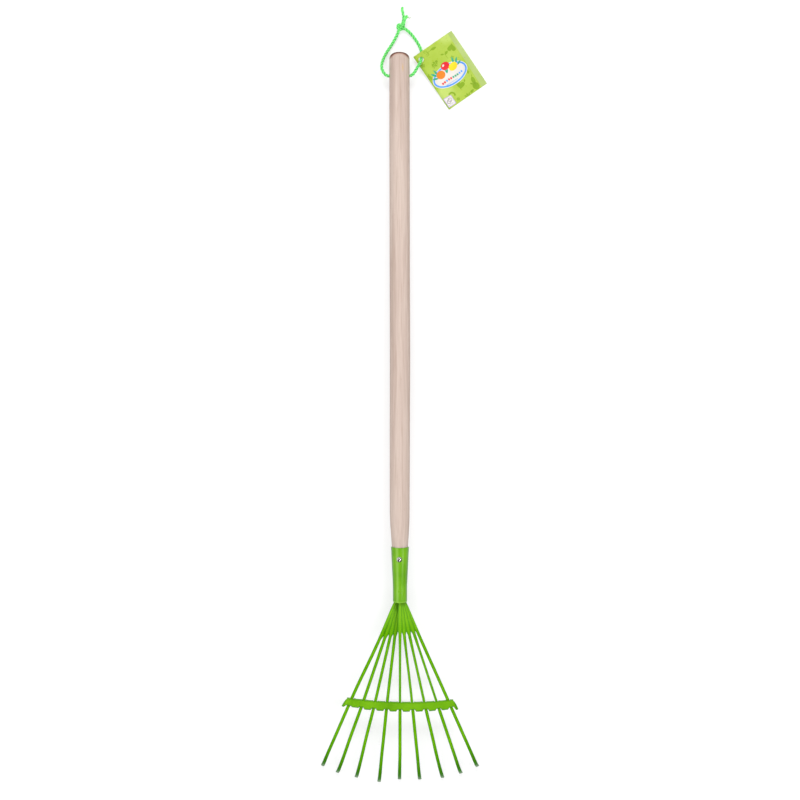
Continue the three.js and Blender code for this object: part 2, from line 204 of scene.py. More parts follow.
# ---- frames of the tilted rake and of the tag ----
RAKE = (
    Matrix.Translation((0, MOUTH_FROM_ORIGIN * MM, MOUTH_HEIGHT * MM))
    @ Matrix.Rotation(-REST_TILT, 4, "X")
    @ Matrix.Scale(MM, 4)
)
TAG = (
    Matrix.Translation(TAG_HOLE_AT)
    @ Matrix.Rotation(TAG_TURN, 4, "Z")
    @ Matrix.Rotation(TAG_TILT, 4, "X")
    @ Matrix.Scale(MM, 4)
)


def on_rake(along, height=0):
    """The rake's frame, moved to a place on its axis."""
    return RAKE @ Matrix.Translation((0, along, height))


# ---- camera, first: it looks straight down ----
def make_camera():
    data = bpy.data.cameras.new("camera")
    data.lens = CAMERA_LENS
    data.clip_end = 100
    camera = bpy.data.objects.new("camera", data)
    camera.location = (0, CAMERA_FROM_ORIGIN, CAMERA_HEIGHT)
    bpy.context.scene.collection.objects.link(camera)
    bpy.context.scene.camera = camera


make_camera()


# ---- material building blocks ----
class Look:
    """A node material around one Principled shader."""

    def __init__(self, name, **constants):
        self.material = bpy.data.materials.new(name)
        self.material.use_nodes = True
        self.nodes = self.material.node_tree.nodes
        self.links = self.material.node_tree.links
        self.shader = self.nodes["Principled BSDF"]
        for socket, value in constants.items():
            self.shader.inputs[socket.replace("_", " ")].default_value = value
        self.object_point = self.nodes.new("ShaderNodeTexCoord").outputs["Object"]

    def link(self, source, target):
        self.links.new(source, target)

    def feed(self, socket, value):
        """A socket takes another node's output, a colour or a plain number."""
        if isinstance(value, bpy.types.NodeSocket):
            self.link(value, socket)
        elif isinstance(value, tuple):
            socket.default_value = (*value, 1)
        else:
            socket.default_value = value

    def stretched(self, scale, point=None):
        """Coordinates scaled by a different amount along each axis."""
        mapping = self.nodes.new("ShaderNodeMapping")
        mapping.inputs["Scale"].default_value = scale
        self.link(point or self.object_point, mapping.inputs["Vector"])
        return mapping.outputs["Vector"]

    def noise(self, scale, detail=3, point=None, distortion=0.0):
        texture = self.nodes.new("ShaderNodeTexNoise")
        texture.inputs["Scale"].default_value = scale
        texture.inputs["Detail"].default_value = detail
        texture.inputs["Distortion"].default_value = distortion
        self.link(point or self.object_point, texture.inputs["Vector"])
        return texture.outputs["Fac"]

    def ramp(self, source, stops):
        """Colours, or plain numbers for greys, at places from 0 to 1."""
        ramp = self.nodes.new("ShaderNodeValToRGB")
        elements = ramp.color_ramp.elements
        while len(elements) < len(stops):
            elements.new(0.5)
        for element, (place, colour) in zip(elements, stops):
            element.position = place
            element.color = (*colour, 1) if isinstance(colour, tuple) else (colour, colour, colour, 1)
        self.link(source, ramp.inputs["Fac"])
        return ramp.outputs["Color"]

    def between(self, source, low, high):
        """From low to high as the source goes from 0.3 to 0.7."""
        return self.ramp(source, [(0.3, low), (0.7, high)])

    def mix(self, factor, first, second, blend="MIX"):
        mix = self.nodes.new("ShaderNodeMix")
        mix.data_type = "RGBA"
        mix.blend_type = blend
        for place, value in ((0, factor), (6, first), (7, second)):
            self.feed(mix.inputs[place], value)
        return mix.outputs[2]

    def math(self, operation, first, second):
        node = self.nodes.new("ShaderNodeMath")
        node.operation = operation
        for socket, value in zip(node.inputs, (first, second)):
            self.feed(socket, value)
        return node.outputs[0]

    def times(self, first, second):
        return self.math("MULTIPLY", first, second)

    def map_channels(self, name):
        """The two channels of a named UV map."""
        read = self.nodes.new("ShaderNodeUVMap")
        read.uv_map = name
        split = self.nodes.new("ShaderNodeSeparateXYZ")
        self.link(read.outputs["UV"], split.inputs[0])
        return split.outputs["X"], split.outputs["Y"]

    def facing(self, direction):
        """1 where the surface faces a direction fixed to the piece, 0 across it, -1 away."""
        product = self.nodes.new("ShaderNodeVectorMath")
        product.operation = "DOT_PRODUCT"
        product.inputs[1].default_value = direction
        normal = self.nodes.new("ShaderNodeTexCoord").outputs["Normal"]
        self.link(normal, product.inputs[0])
        return product.outputs["Value"]

    def away(self, source, middle):
        return self.math("ABSOLUTE", self.math("SUBTRACT", source, middle), 0)

    def near(self, source, middle, reach):
        """1 at a value, falling to 0 a reach away from it."""
        falling = self.math("SUBTRACT", 1, self.math("DIVIDE", self.away(source, middle), reach))
        return self.math("MAXIMUM", falling, 0)

    def colour(self, source):
        self.link(source, self.shader.inputs["Base Color"])

    def roughness(self, source):
        self.link(source, self.shader.inputs["Roughness"])

    def bump(self, height, distance, strength):
        bump = self.nodes.new("ShaderNodeBump")
        bump.inputs["Distance"].default_value = distance
        bump.inputs["Strength"].default_value = strength
        previous = self.shader.inputs["Normal"].links
        if previous:
            self.link(previous[0].from_socket, bump.inputs["Normal"])
        self.link(height, bump.inputs["Height"])
        self.link(bump.outputs["Normal"], self.shader.inputs["Normal"])


def srgb(red, green, blue):
    """Linear colour from 0-255 display values."""
    def linear(value):
        value /= 255
        return value / 12.92 if value <= 0.04045 else ((value + 0.055) / 1.055) ** 2.4
    return linear(red), linear(green), linear(blue)


# ---- materials ----
PAINT_GLINT = (*srgb(170, 230, 60), 1)


def paint_tone(look):
    """Even green with faint clouds."""
    return look.ramp(look.noise(55, 4), [
        (0.3, srgb(90, 150, 4)), (0.5, srgb(100, 160, 8)), (0.72, srgb(110, 168, 16)),
    ])


def paint_surface(look):
    """Gloss and the slight orange peel of sprayed paint."""
    look.roughness(look.between(look.noise(160, 5), 0.28, 0.32))
    look.bump(look.noise(700, 2), 0.0001, 0.25)
    look.bump(look.noise(120, 3), 0.0003, 0.08)


def socket_paint():
    """Paint on the rolled socket, with painted shade on its flanks, two painted highlights along it and a
    painted highlight round its mouth.
    """
    look = Look("socket_paint", IOR=1.38)
    # painted shade: the flanks, turned away from straight up, are painted a darker green
    shaded_flank = look.ramp(look.facing((0, 0, 1)), [(0.2, 0.95), (0.58, 0)])
    tone = look.mix(shaded_flank, paint_tone(look), srgb(48, 116, 0))
    round_way, along = look.map_channels("sides")
    # painted highlights: a pale stripe and a thin pale line along the socket stand in for reflections of
    # the strip lights
    highlight_band = look.times(look.near(round_way, 0.442, 0.045), 0.5)
    highlight_streak = look.times(look.near(round_way, 0.558, 0.012), look.near(along, 0.76, 0.4))
    tone = look.mix(look.math("MAXIMUM", highlight_band, highlight_streak), tone, srgb(148, 192, 84))
    # painted highlight: a pale line round the mouth
    lip_highlight = look.near(along, 0.012, 0.02)
    look.colour(look.mix(look.times(lip_highlight, 0.7), tone, srgb(138, 194, 60)))
    paint_surface(look)
    return look.material


def tine_paint():
    """Paint on the tines, pale at the roots, with painted shade along their edges, on the bent tips and
    where the roots overlap.
    """
    look = Look("tine_paint", IOR=1.12, Specular_Tint=PAINT_GLINT)
    across, along = look.map_channels("sides")
    off_middle = look.away(across, 0.5)
    # painted shade: the paint darkens towards each tine's edges
    edge = look.ramp(off_middle, [(0.08, 0.1), (0.44, 1)])
    tone = look.mix(look.times(edge, 0.85), paint_tone(look), srgb(52, 128, 2))
    # painted shade: the bent tips are painted darker
    below = look.ramp(along, [(0.8, 0), (0.97, 1)])
    tone = look.mix(look.times(below, 0.9), tone, srgb(42, 110, 8))
    root = look.ramp(along, [(0.12, 1), (0.24, 0)])
    tone = look.mix(look.times(root, 0.5), tone, srgb(128, 184, 44))
    # painted shade: dark blue-green where the roots overlap their neighbours
    crease_shade = look.times(root, look.ramp(off_middle, [(0.3, 0), (0.47, 1)]))
    look.colour(look.mix(look.times(crease_shade, 0.6), tone, srgb(48, 130, 44)))
    paint_surface(look)
    return look.material


def brace_paint():
    """Paint on the folded brace, with painted shade along its fold, its lower edge and its ends."""
    look = Look("brace_paint", Specular_IOR_Level=0.45, Specular_Tint=(*srgb(225, 240, 170), 1))
    across, down = look.map_channels("sides")
    # painted shade: darker along the lower edge, along the fold and at the ends
    lower = look.ramp(down, [(0.85, 0), (0.94, 1)])
    fold = look.near(down, 0.0, 0.16)
    from_middle = look.away(across, 0.5)
    end = look.ramp(from_middle, [(0.4352, 0), (0.4368, 1)])
    rim = look.math("MAXIMUM", look.math("MAXIMUM", lower, fold), end)
    look.colour(look.mix(look.times(rim, 0.9), paint_tone(look), srgb(46, 116, 0)))
    paint_surface(look)
    return look.material


def wood_look():
    """Pale dowel: faint grain, painted shade on its flanks, one small knot, and a dark brown rim round its
    end that is partly darker end grain and partly painted shade.
    """
    look = Look("pale_wood", Specular_IOR_Level=0.35)
    streaks = look.noise(1, 4, look.stretched((170, 5, 170)), 0.4)
    grain = look.noise(1, 5, look.stretched((900, 22, 900)), 0.2)
    tone = look.ramp(streaks, [
        (0.25, srgb(177, 156, 144)), (0.45, srgb(188, 168, 157)),
        (0.6, srgb(197, 179, 168)), (0.8, srgb(183, 163, 150)),
    ])
    fine = look.ramp(grain, [(0.3, srgb(188, 160, 140)), (0.5, srgb(255, 255, 255))])
    tone = look.mix(0.22, tone, fine, "MULTIPLY")
    pores = look.noise(1, 2, look.stretched((1500, 130, 1500)))
    pore_mask = look.ramp(pores, [(0.66, 0), (0.74, 1)])
    tone = look.mix(look.times(pore_mask, 0.25), tone, srgb(160, 120, 94))
    # painted shade: the flanks, turned away from straight up, are painted darker
    shaded_flank = look.ramp(look.facing((0, 0, 1)), [(0.1, 1), (0.55, 0)])
    tone = look.mix(look.times(shaded_flank, 0.3), tone, srgb(150, 116, 96))
    place = look.nodes.new("ShaderNodeSeparateXYZ")
    look.link(look.object_point, place.inputs[0])
    knot = look.times(look.near(place.outputs["X"], *WOOD_KNOT_ACROSS),
                      look.near(place.outputs["Y"], *WOOD_KNOT_ALONG))
    tone = look.mix(look.times(knot, 0.8), tone, srgb(196, 160, 96))
    near_end = look.ramp(look.times(look.math("SUBTRACT", place.outputs["Y"], 0.42), 20),
                         [(0.52, 0), (0.6, 1)])
    above_middle = (0, -0.217, 0.976)
    outline = look.facing(above_middle)
    # painted shade: the rounded end is painted darker where it turns away from above_middle
    rounded = look.times(near_end, look.ramp(outline, [(0.68, 1), (0.78, 0)]))
    tone = look.mix(look.times(rounded, 0.7), tone, srgb(166, 126, 110))
    # a dark brown rim near the end's outline: partly darker end grain, partly painted shade
    stain_and_shade = look.ramp(outline, [(0, 0.3), (0.12, 1), (0.48, 1), (0.66, 0)])
    rim = look.times(near_end, stain_and_shade)
    look.colour(look.mix(rim, tone, srgb(92, 40, 18)))
    look.roughness(look.between(grain, 0.66, 0.55))
    look.bump(grain, 0.0002, 0.3)
    look.bump(pores, 0.0002, 0.2)
    return look.material


def steel_look():
    """Bright steel, with painted shade on the side of the screw's head turned away from the upper left."""
    look = Look("screw_steel", Metallic=1.0)
    brushed = look.noise(1, 4, look.stretched((300, 4000, 300)))
    tone = look.between(look.noise(900, 3), srgb(190, 190, 187), srgb(240, 239, 236))
    # painted shade: the side of the head turned away from the upper left is painted dark
    shaded_side = look.ramp(look.facing((-0.3, 0.3, 0.9)), [(0.42, 1), (0.7, 0)])
    look.colour(look.mix(look.times(shaded_side, 0.9), tone, srgb(84, 60, 58)))
    look.roughness(look.between(brushed, 0.2, 0.36))
    look.bump(brushed, 0.00005, 0.4)
    return look.material


def slot_shade_look():
    """Painted shade in the slot of the screw: a dark colour where the slot's walls shade its floor."""
    look = Look("slot_shade", Metallic=0.3)
    look.colour(look.between(look.noise(1500, 3), srgb(34, 20, 24), srgb(62, 42, 46)))
    look.roughness(look.between(look.noise(900, 2), 0.5, 0.75))
    look.bump(look.noise(2200, 2), 0.0001, 0.4)
    return look.material


def rope_look():
    """Twisted plastic fibre: bright on the strands, with painted shade in the grooves between them."""
    look = Look("green_rope", Sheen_Weight=0.2, Sheen_Roughness=0.4, Specular_IOR_Level=0.35)
    around, along = look.map_channels("fibres")
    both = look.nodes.new("ShaderNodeUVMap")
    both.uv_map = "fibres"
    fibres = look.noise(1, 3, look.stretched((46, 260, 1), both.outputs["UV"]), 0.3)
    tone = look.ramp(fibres, [
        (0.25, srgb(66, 206, 82)), (0.45, srgb(108, 230, 106)), (0.7, srgb(156, 245, 142)),
    ])
    strand = look.math("FRACT", look.times(around, 3), 0)
    # painted shade: deep green in the grooves between the strands
    groove_shade = look.ramp(look.near(strand, 0.5, 0.28), [(0.0, 0), (0.8, 1)])
    tone = look.mix(look.times(groove_shade, 0.85), tone, srgb(14, 146, 66))
    patches = look.ramp(look.noise(170, 3), [(0.35, 0), (0.7, 1)])
    look.colour(look.mix(look.times(patches, 0.22), tone, srgb(44, 190, 84)))
    look.roughness(look.between(fibres, 0.6, 0.42))
    look.bump(fibres, 0.0004, 0.7)
    return look.material


def card_surface(look, roughness):
    """The sheen and the slight waves of laminated card."""
    look.roughness(look.between(look.noise(400, 3), roughness, roughness + 0.12))
    look.bump(look.noise(900, 2), 0.00004, 0.3)
    look.bump(look.noise(25, 2), 0.0008, 0.2)


def card_look(name, dark, light, roughness=0.3):
    look = Look(name, Specular_IOR_Level=0.4)
    look.colour(look.between(look.noise(45, 3), dark, light))
    card_surface(look, roughness)
    return look.material


def card_front_look():
    """Laminated lime card: darker along its fold, with painted glare pale at two corners."""
    look = Look("card_front", Specular_IOR_Level=0.45)
    tone = look.between(look.noise(45, 3), srgb(155, 180, 56), srgb(168, 191, 76))
    across, down = look.map_channels("leaf")
    fold = look.ramp(across, [(0.0, 1), (0.07, 0)])
    tone = look.mix(look.times(fold, 0.75), tone, srgb(126, 160, 8))
    # painted glare: pale patches near two corners stand in for reflections on the laminate
    high = look.times(look.near(across, 0.86, 0.3), look.near(down, 0.03, 0.16))
    low = look.times(look.near(across, 0.12, 0.3), look.near(down, 0.74, 0.16))
    painted_glare = look.ramp(look.math("MAXIMUM", high, low), [(0.1, 0), (0.55, 1)])
    look.colour(look.mix(look.times(painted_glare, 0.34), tone, srgb(208, 224, 140)))
    card_surface(look, 0.26)
    return look.material


SOCKET_PAINT = socket_paint()
TINE_PAINT = tine_paint()
BRACE_PAINT = brace_paint()
PALE_WOOD = wood_look()
SCREW_STEEL = steel_look()
SLOT_SHADE = slot_shade_look()
GREEN_ROPE = rope_look()
CARD_FRONT = card_front_look()
CARD_BACK = card_look("card_back", srgb(160, 181, 98), srgb(171, 190, 116), 0.34)
CARD_PRINT = card_look("card_print", srgb(118, 152, 22), srgb(132, 165, 32))


# ---- mesh building blocks ----
def bare_mesh(name, vertices, faces):
    data = bpy.data.meshes.new(name)
    data.from_pydata([tuple(v) for v in vertices], [], faces)
    piece = bpy.data.objects.new(name, data)
    bpy.context.scene.collection.objects.link(piece)
    return piece


def mesh_object(name, vertices, faces, look, body, slot):
    """A smooth closed piece that rides on a body."""
    piece = bare_mesh(name, vertices, faces)
    piece.data.materials.append(look)
    for polygon in piece.data.polygons:
        polygon.use_smooth = True
    outward(piece)
    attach(piece, body)
    return piece


def map_points(piece, name, places):
    """A UV map that gives each vertex its own place."""
    layer = piece.data.uv_layers.new(name=name)
    for loop in piece.data.loops:
        layer.data[loop.index].uv = places[loop.vertex_index]


@contextmanager
def edited(piece):
    """The faces and edges of a piece, written back when the block ends."""
    work = bmesh.new()
    work.from_mesh(piece.data)
    yield work
    work.to_mesh(piece.data)
    work.free()


def outward(piece):
    """Faces of a closed mesh all point out."""
    with edited(piece) as work:
        bmesh.ops.recalc_face_normals(work, faces=work.faces)


def round_turns(count):
    return [2 * pi * k / count for k in range(count)]


def skin(rings, closed_along=False):
    """Vertices and faces of a tube through rings of equal size, capped unless closed."""
    size = len(rings[0])
    vertices = [point for ring in rings for point in ring]
    faces = []
    last = len(rings) if closed_along else len(rings) - 1
    for i in range(last):
        near = i * size
        far = ((i + 1) % len(rings)) * size
        for k in range(size):
            after = (k + 1) % size
            faces.append((near + k, near + after, far + after, far + k))
    if not closed_along:
        faces.append(tuple(reversed(range(size))))
        faces.append(tuple(range((len(rings) - 1) * size, len(rings) * size)))
    return vertices, faces


def turned(profile, segments, place):
    """A solid of revolution about the Y axis of place, from (radius, along) pairs."""
    turns = round_turns(segments)
    return skin([[place @ Vector((radius * sin(turn), along, radius * cos(turn)))
                  for turn in turns] for radius, along in profile])


def arc(centre_radius, centre_along, radius, start, end, steps):
    """(radius, along) pairs on an arc, from start to end degrees."""
    pairs = []
    for i in range(steps + 1):
        turn = radians(start + (end - start) * i / steps)
        pairs.append((centre_radius + radius * cos(turn), centre_along + radius * sin(turn)))
    return pairs


def smooth_step(start, end, value):
    """0 before start and 1 after end, with a soft rise between them."""
    t = min(1, max(0, (value - start) / (end - start)))
    return t * t * (3 - 2 * t)


def blend_between(low, high, t):
    """Low at 0, high at 1."""
    return low + (high - low) * t


def smooth_table(places, values, at):
    """A value that eases from one table entry to the next."""
    if at <= places[0]:
        return values[0]
    for (start, low), (end, high) in zip(zip(places, values), list(zip(places, values))[1:]):
        if at <= end:
            return blend_between(low, high, smooth_step(start, end, at))
    return values[-1]


def cut_with(piece, cutter):
    """Subtracts cutter from piece and removes cutter."""
    modifier = piece.modifiers.new("cut", "BOOLEAN")
    modifier.operation = "DIFFERENCE"
    modifier.solver = "EXACT"
    modifier.object = cutter
    apply_modifiers(piece)
    bpy.data.objects.remove(cutter)


def apply_modifiers(piece):
    depsgraph = bpy.context.evaluated_depsgraph_get()
    data = bpy.data.meshes.new_from_object(piece.evaluated_get(depsgraph))
    piece.modifiers.clear()
    piece.data = data


def cutter_of(vertices, faces):
    cutter = bare_mesh("cutter", vertices, faces)
    outward(cutter)
    return cutter


def rod(radius, length, place, segments=48):
    """A cutter: a rod along the Z axis of place, centred on its origin."""
    rings = [[place @ Vector((radius * cos(turn), radius * sin(turn), end * length / 2))
              for turn in round_turns(segments)] for end in (-1, 1)]
    return cutter_of(*skin(rings))


# ---- rope ----
def between_points(first, second, start, end, t):
    """The point at t on the straight run from first, at start, to second, at end."""
    return first * ((end - t) / (end - start)) + second * ((t - start) / (end - start))


def line_length(line):
    return sum((b - a).length for a, b in zip(line, line[1:]))


def smooth_line(points, step):
    """A centripetal Catmull-Rom line through points, in steps of even length."""
    points = [Vector(p) for p in points]
    padded = [2 * points[0] - points[1], *points, 2 * points[-1] - points[-2]]
    fine = []
    for p0, p1, p2, p3 in zip(padded, padded[1:], padded[2:], padded[3:]):
        t1 = sqrt((p1 - p0).length)
        t2 = t1 + sqrt((p2 - p1).length)
        t3 = t2 + sqrt((p3 - p2).length)
        for i in range(24):
            t = t1 + (t2 - t1) * i / 24
            a1 = between_points(p0, p1, 0, t1, t)
            a2 = between_points(p1, p2, t1, t2, t)
            a3 = between_points(p2, p3, t2, t3, t)
            b1 = between_points(a1, a2, 0, t2, t)
            b2 = between_points(a2, a3, t1, t3, t)
            fine.append(between_points(b1, b2, t1, t2, t))
    fine.append(points[-1])
    total = line_length(fine)
    count = max(2, round(total / step))
    line = [fine[0]]
    walked = 0
    target = total / count
    for a, b in zip(fine, fine[1:]):
        length = (b - a).length
        while length > 0 and walked + length >= target - 1e-9 and len(line) < count:
            line.append(a.lerp(b, (target - walked) / length))
            target += total / count
        walked += length
    line.append(fine[-1])
    return line


def frames_along(line):
    """(point, side, up) along the line, carried without twist."""
    frames = []
    side = None
    for i, point in enumerate(line):
        ahead = line[min(i + 1, len(line) - 1)] - line[max(i - 1, 0)]
        ahead.normalize()
        if side is None:
            side = ahead.cross(Vector((0, 0, 1)))
            if side.length < 0.1:
                side = ahead.cross(Vector((1, 0, 0)))
        side = side - ahead * side.dot(ahead)
        side.normalize()
        frames.append((point, side.copy(), ahead.cross(side)))
    return frames


def off_line(point, side, up, out, turn):
    """A point beside a line: how far out, at a turn round it."""
    return point + side * (out * cos(turn)) + up * (out * sin(turn))


def rope_section(turn, radius):
    """Distance from the middle of a three-strand rope to its surface, at a turn."""
    strand = 0.52 * radius
    offset = 0.49 * radius
    sector = 2 * pi / 3
    away = (turn + sector / 2) % sector - sector / 2
    return offset * cos(away) + sqrt(strand ** 2 - (offset * sin(away)) ** 2)


def laid_rope(name, line, radius):
    """A rope of three twisted strands along a line of evenly spaced points."""
    rings = []
    step = line_length(line) / (len(line) - 1)
    for i, (point, side, up) in enumerate(frames_along(line)):
        twist = 2 * pi * i * step / CORD_LAY
        rings.append([off_line(point, side, up, rope_section(turn - twist, radius), turn)
                      for turn in round_turns(ROPE_SIDES)])
    piece = mesh_object(name, *skin(rings), GREEN_ROPE, "rope_loop", "rope")
    fibre_map(piece, step)
    return piece


def fibre_map(piece, step):
    """Coordinates for the fibres: round the rope following its twist, and along it."""
    layer = piece.data.uv_layers.new(name="fibres")
    for polygon in piece.data.polygons:
        on_side = len(polygon.vertices) == 4
        for loop in polygon.loop_indices:
            vertex = piece.data.loops[loop].vertex_index
            ring, place = divmod(vertex, ROPE_SIDES)
            along = ring * step
            turn = place / ROPE_SIDES - along / CORD_LAY
            if on_side and place == 0 and max(v % ROPE_SIDES for v in polygon.vertices) == ROPE_SIDES - 1:
                turn += 1
            layer.data[loop].uv = (turn, along * 10)


def strand(line, radius, taper_end):
    """Rings of a thin strand, thinner towards its end."""
    rings = []
    for i, (point, side, up) in enumerate(frames_along(line)):
        fine = radius * blend_between(1, taper_end, (i / (len(line) - 1)) ** 2)
        rings.append([off_line(point, side, up, fine, turn) for turn in round_turns(STRAND_SIDES)])
    return rings


def joined_strands(name, skins, look):
    """One piece of many strands, each with its own patch of fibre coordinates."""
    vertices = []
    faces = []
    for rings in skins:
        more_vertices, more_faces = skin(rings)
        start = len(vertices)
        vertices += more_vertices
        faces += [tuple(start + v for v in face) for face in more_faces]
    piece = mesh_object(name, vertices, faces, look, "rope_loop", "rope")
    places = []
    for number, rings in enumerate(skins):
        places += [(0.08 * k / STRAND_SIDES, 0.37 * number + 0.004 * i)
                   for i in range(len(rings)) for k in range(STRAND_SIDES)]
    map_points(piece, "fibres", places)
    return piece


def make_knot():
    """An overhand knot pulled tight, and the other end of the rope gripped in it."""
    first = [
        (-2.3, -4.6, -0.6), (-1.2, -2.4, 0.4), (0.6, -0.1, 1.7), (2.8, 1.6, 1.5),
        (3.9, 0.5, -0.3), (2.5, -1.6, -1.4), (-0.4, -2.5, -1.2), (-3.3, -1.5, 0.1),
        (-4.1, 0.8, 1.2), (-2.7, 2.8, 1.3), (-0.2, 3.1, 0.3), (1.2, 2.6, -0.6),
        (2.5, 6.7, -1.55),
    ]
    second = [
        (6.4, -2.7, -0.5), (4.0, -1.1, -0.2), (1.4, -0.6, -0.9), (-1.3, 0.3, -0.2),
        (-1.8, 1.6, 1.6), (0.2, 2.2, 2.7), (2.6, 2.2, 3.0), (3.8, 3.1, 2.75), (4.3, 6.7, 3.05),
    ]
    radius = 0.43 * CORD_DIAMETER
    knots = []
    for name, path in (("knot_turns", first), ("knot_inner_turn", second)):
        points = [KNOT_CENTRE + Vector(p) * MM for p in path]
        line = smooth_line(points, ROPE_STEP)
        knots.append(laid_rope(name, line, radius))
    for piece in knots:
        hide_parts("cord_knot")
    return knots


def make_tail(name, route, node, laid_share, spread, seed):
    """A cut end of the rope: laid at first, then its strands and fibres work loose."""
    shuffle = random.Random(seed)
    line = smooth_line(route, ROPE_STEP)
    laid_part = int(len(line) * laid_share)
    overlap = 6
    rope = laid_rope(name, line[:laid_part + 1], TAIL_WIDTH / 2)
    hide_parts(node)
    skins = []
    frames = frames_along(line[laid_part - overlap:])
    for k, place in enumerate(round_turns(FRAYED_FIBRES)):
        turn = place + shuffle.uniform(-0.3, 0.3)
        inner = 0.12 + 0.24 * (k % 2)
        reach = shuffle.uniform(0.7, 1.0)
        away = shuffle.uniform(0.2, 1.0) * spread
        path = []
        for i, (point, side, up) in enumerate(frames[:max(overlap, int(len(frames) * reach))]):
            t = i / (len(frames) - 1)
            lifted = off_line(point, side, up, TAIL_WIDTH * (inner + away * t ** 1.6), turn + 2.2 * t)
            lifted.z = max(lifted.z, LOWEST_FIBRE)
            path.append(lifted)
        skins.append(strand(path, FINE_FIBRE if k % 3 else COARSE_FIBRE, 0.4))
    fray = joined_strands(name + "_fray", skins, GREEN_ROPE)
    return rope, fray


def make_stray_fibre():
    """One olive fibre caught in the frayed end."""
    olive = Look("olive_fibre", Specular_IOR_Level=0.3)
    olive.colour(olive.between(olive.noise(700, 3), srgb(120, 140, 60), srgb(150, 168, 84)))
    olive.roughness(olive.between(olive.noise(900, 2), 0.5, 0.7))
    line = smooth_line([(0.0082, 0.5016, 0.0050), (0.0106, 0.5006, 0.0050), (0.0124, 0.5004, 0.0044),
                        (0.0136, 0.5014, 0.0038)], 0.0003)
    return joined_strands("stray_fibre", [strand(line, 0.0005, 0.5)], olive.material)


def make_cords():
    radius = CORD_DIAMETER / 2
    left_line = smooth_line(LEFT_ROUTE, ROPE_STEP)
    right_line = smooth_line(RIGHT_ROUTE, ROPE_STEP)
    left = laid_rope("rope_left", left_line, radius)
    right = laid_rope("rope_right", right_line, radius)
    hole_line = smooth_line([LEFT_ROUTE[0], (0, LEFT_ROUTE[0][1], LEFT_ROUTE[0][2]), RIGHT_ROUTE[0]],
                            ROPE_STEP)
    in_handle = laid_rope("rope_in_handle", hole_line, radius * 0.96)
    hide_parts("cord_left")
    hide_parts("cord_right")
    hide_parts("cord_in_handle")
    knots = make_knot()
    long_tail = make_tail("rope_long_tail", LONG_TAIL_ROUTE, "cord_tail_long", 0.8, 0.05, 3)
    short_tail = make_tail("rope_short_tail", SHORT_TAIL_ROUTE, "cord_tail_short", 0.55, 0.5, 8)
    return left, right, left_line, right_line, [*knots, *long_tail, *short_tail, make_stray_fibre()]


LEFT, RIGHT, LEFT_LINE, RIGHT_LINE, KNOT_PIECES = make_cords()


# ---- handle ----
def socket_inner(along):
    part = max(0, along - SOCKET_TAPER_START) / (SOCKET_LENGTH - SOCKET_TAPER_START)
    return SOCKET_MOUTH_RADIUS - SOCKET_WALL + (SOCKET_TOP_RADIUS - SOCKET_MOUTH_RADIUS) * part


def handle_radius(along):
    """The dowel's radius: it narrows into the socket."""
    marks = [
        (HANDLE_FOOT, socket_inner(HANDLE_FOOT) - HANDLE_FOOT_PLAY),
        (SOCKET_LENGTH, socket_inner(SOCKET_LENGTH) - HANDLE_FOOT_PLAY),
        (77, 10.5), (89, 11.35), (98, 11.9), (110, 12.2), (190, 12.45), (310, HANDLE_RADIUS),
        (HANDLE_END, HANDLE_RADIUS),
    ]
    for (start, low), (end, high) in zip(marks, marks[1:]):
        if along <= end:
            return blend_between(low, high, (along - start) / (end - start))
    return HANDLE_RADIUS


def leaning(height):
    """The frame of the screw, which leans a little: its origin is at a height on its axis."""
    return (on_rake(SCREW_AT) @ Matrix.Rotation(SCREW_LEAN, 4, "Y")
            @ Matrix.Translation((0, 0, height)))


def make_handle():
    profile = [(0.01, HANDLE_FOOT), (socket_inner(HANDLE_FOOT) - 1.1, HANDLE_FOOT),
               (socket_inner(HANDLE_FOOT) - HANDLE_FOOT_PLAY, HANDLE_FOOT + 1.5)]
    straight_end = HANDLE_END - HANDLE_CORNER
    along = HANDLE_FOOT + 4
    while along < straight_end - 2:
        profile.append((handle_radius(along), along))
        along += 3
    profile += arc(HANDLE_RADIUS - HANDLE_CORNER, straight_end, HANDLE_CORNER, 0, 86, 22)
    profile += [(1.6, HANDLE_END + 0.02), (0.01, HANDLE_END + 0.03)]
    vertices, faces = turned(profile, 96, RAKE)
    strayed = []
    for vertex in vertices:
        sway = smooth_table(HANDLE_SWAY_AT, HANDLE_SWAY, vertex.y / MM - MOUTH_FROM_ORIGIN)
        strayed.append(vertex + Vector((sway * MM, 0, 0)))
    handle = mesh_object("dowel_handle", strayed, faces, PALE_WOOD, "rake", "wood")
    across = on_rake(CORD_HOLE_AT) @ Matrix.Rotation(pi / 2, 4, "Y")
    cut_with(handle, rod(CORD_HOLE_RADIUS, 4 * HANDLE_RADIUS, across))
    down = leaning(socket_inner(SCREW_AT) - 4)
    cut_with(handle, rod(SCREW_HOLE_RADIUS, 24, down))
    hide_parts("handle")


make_handle()


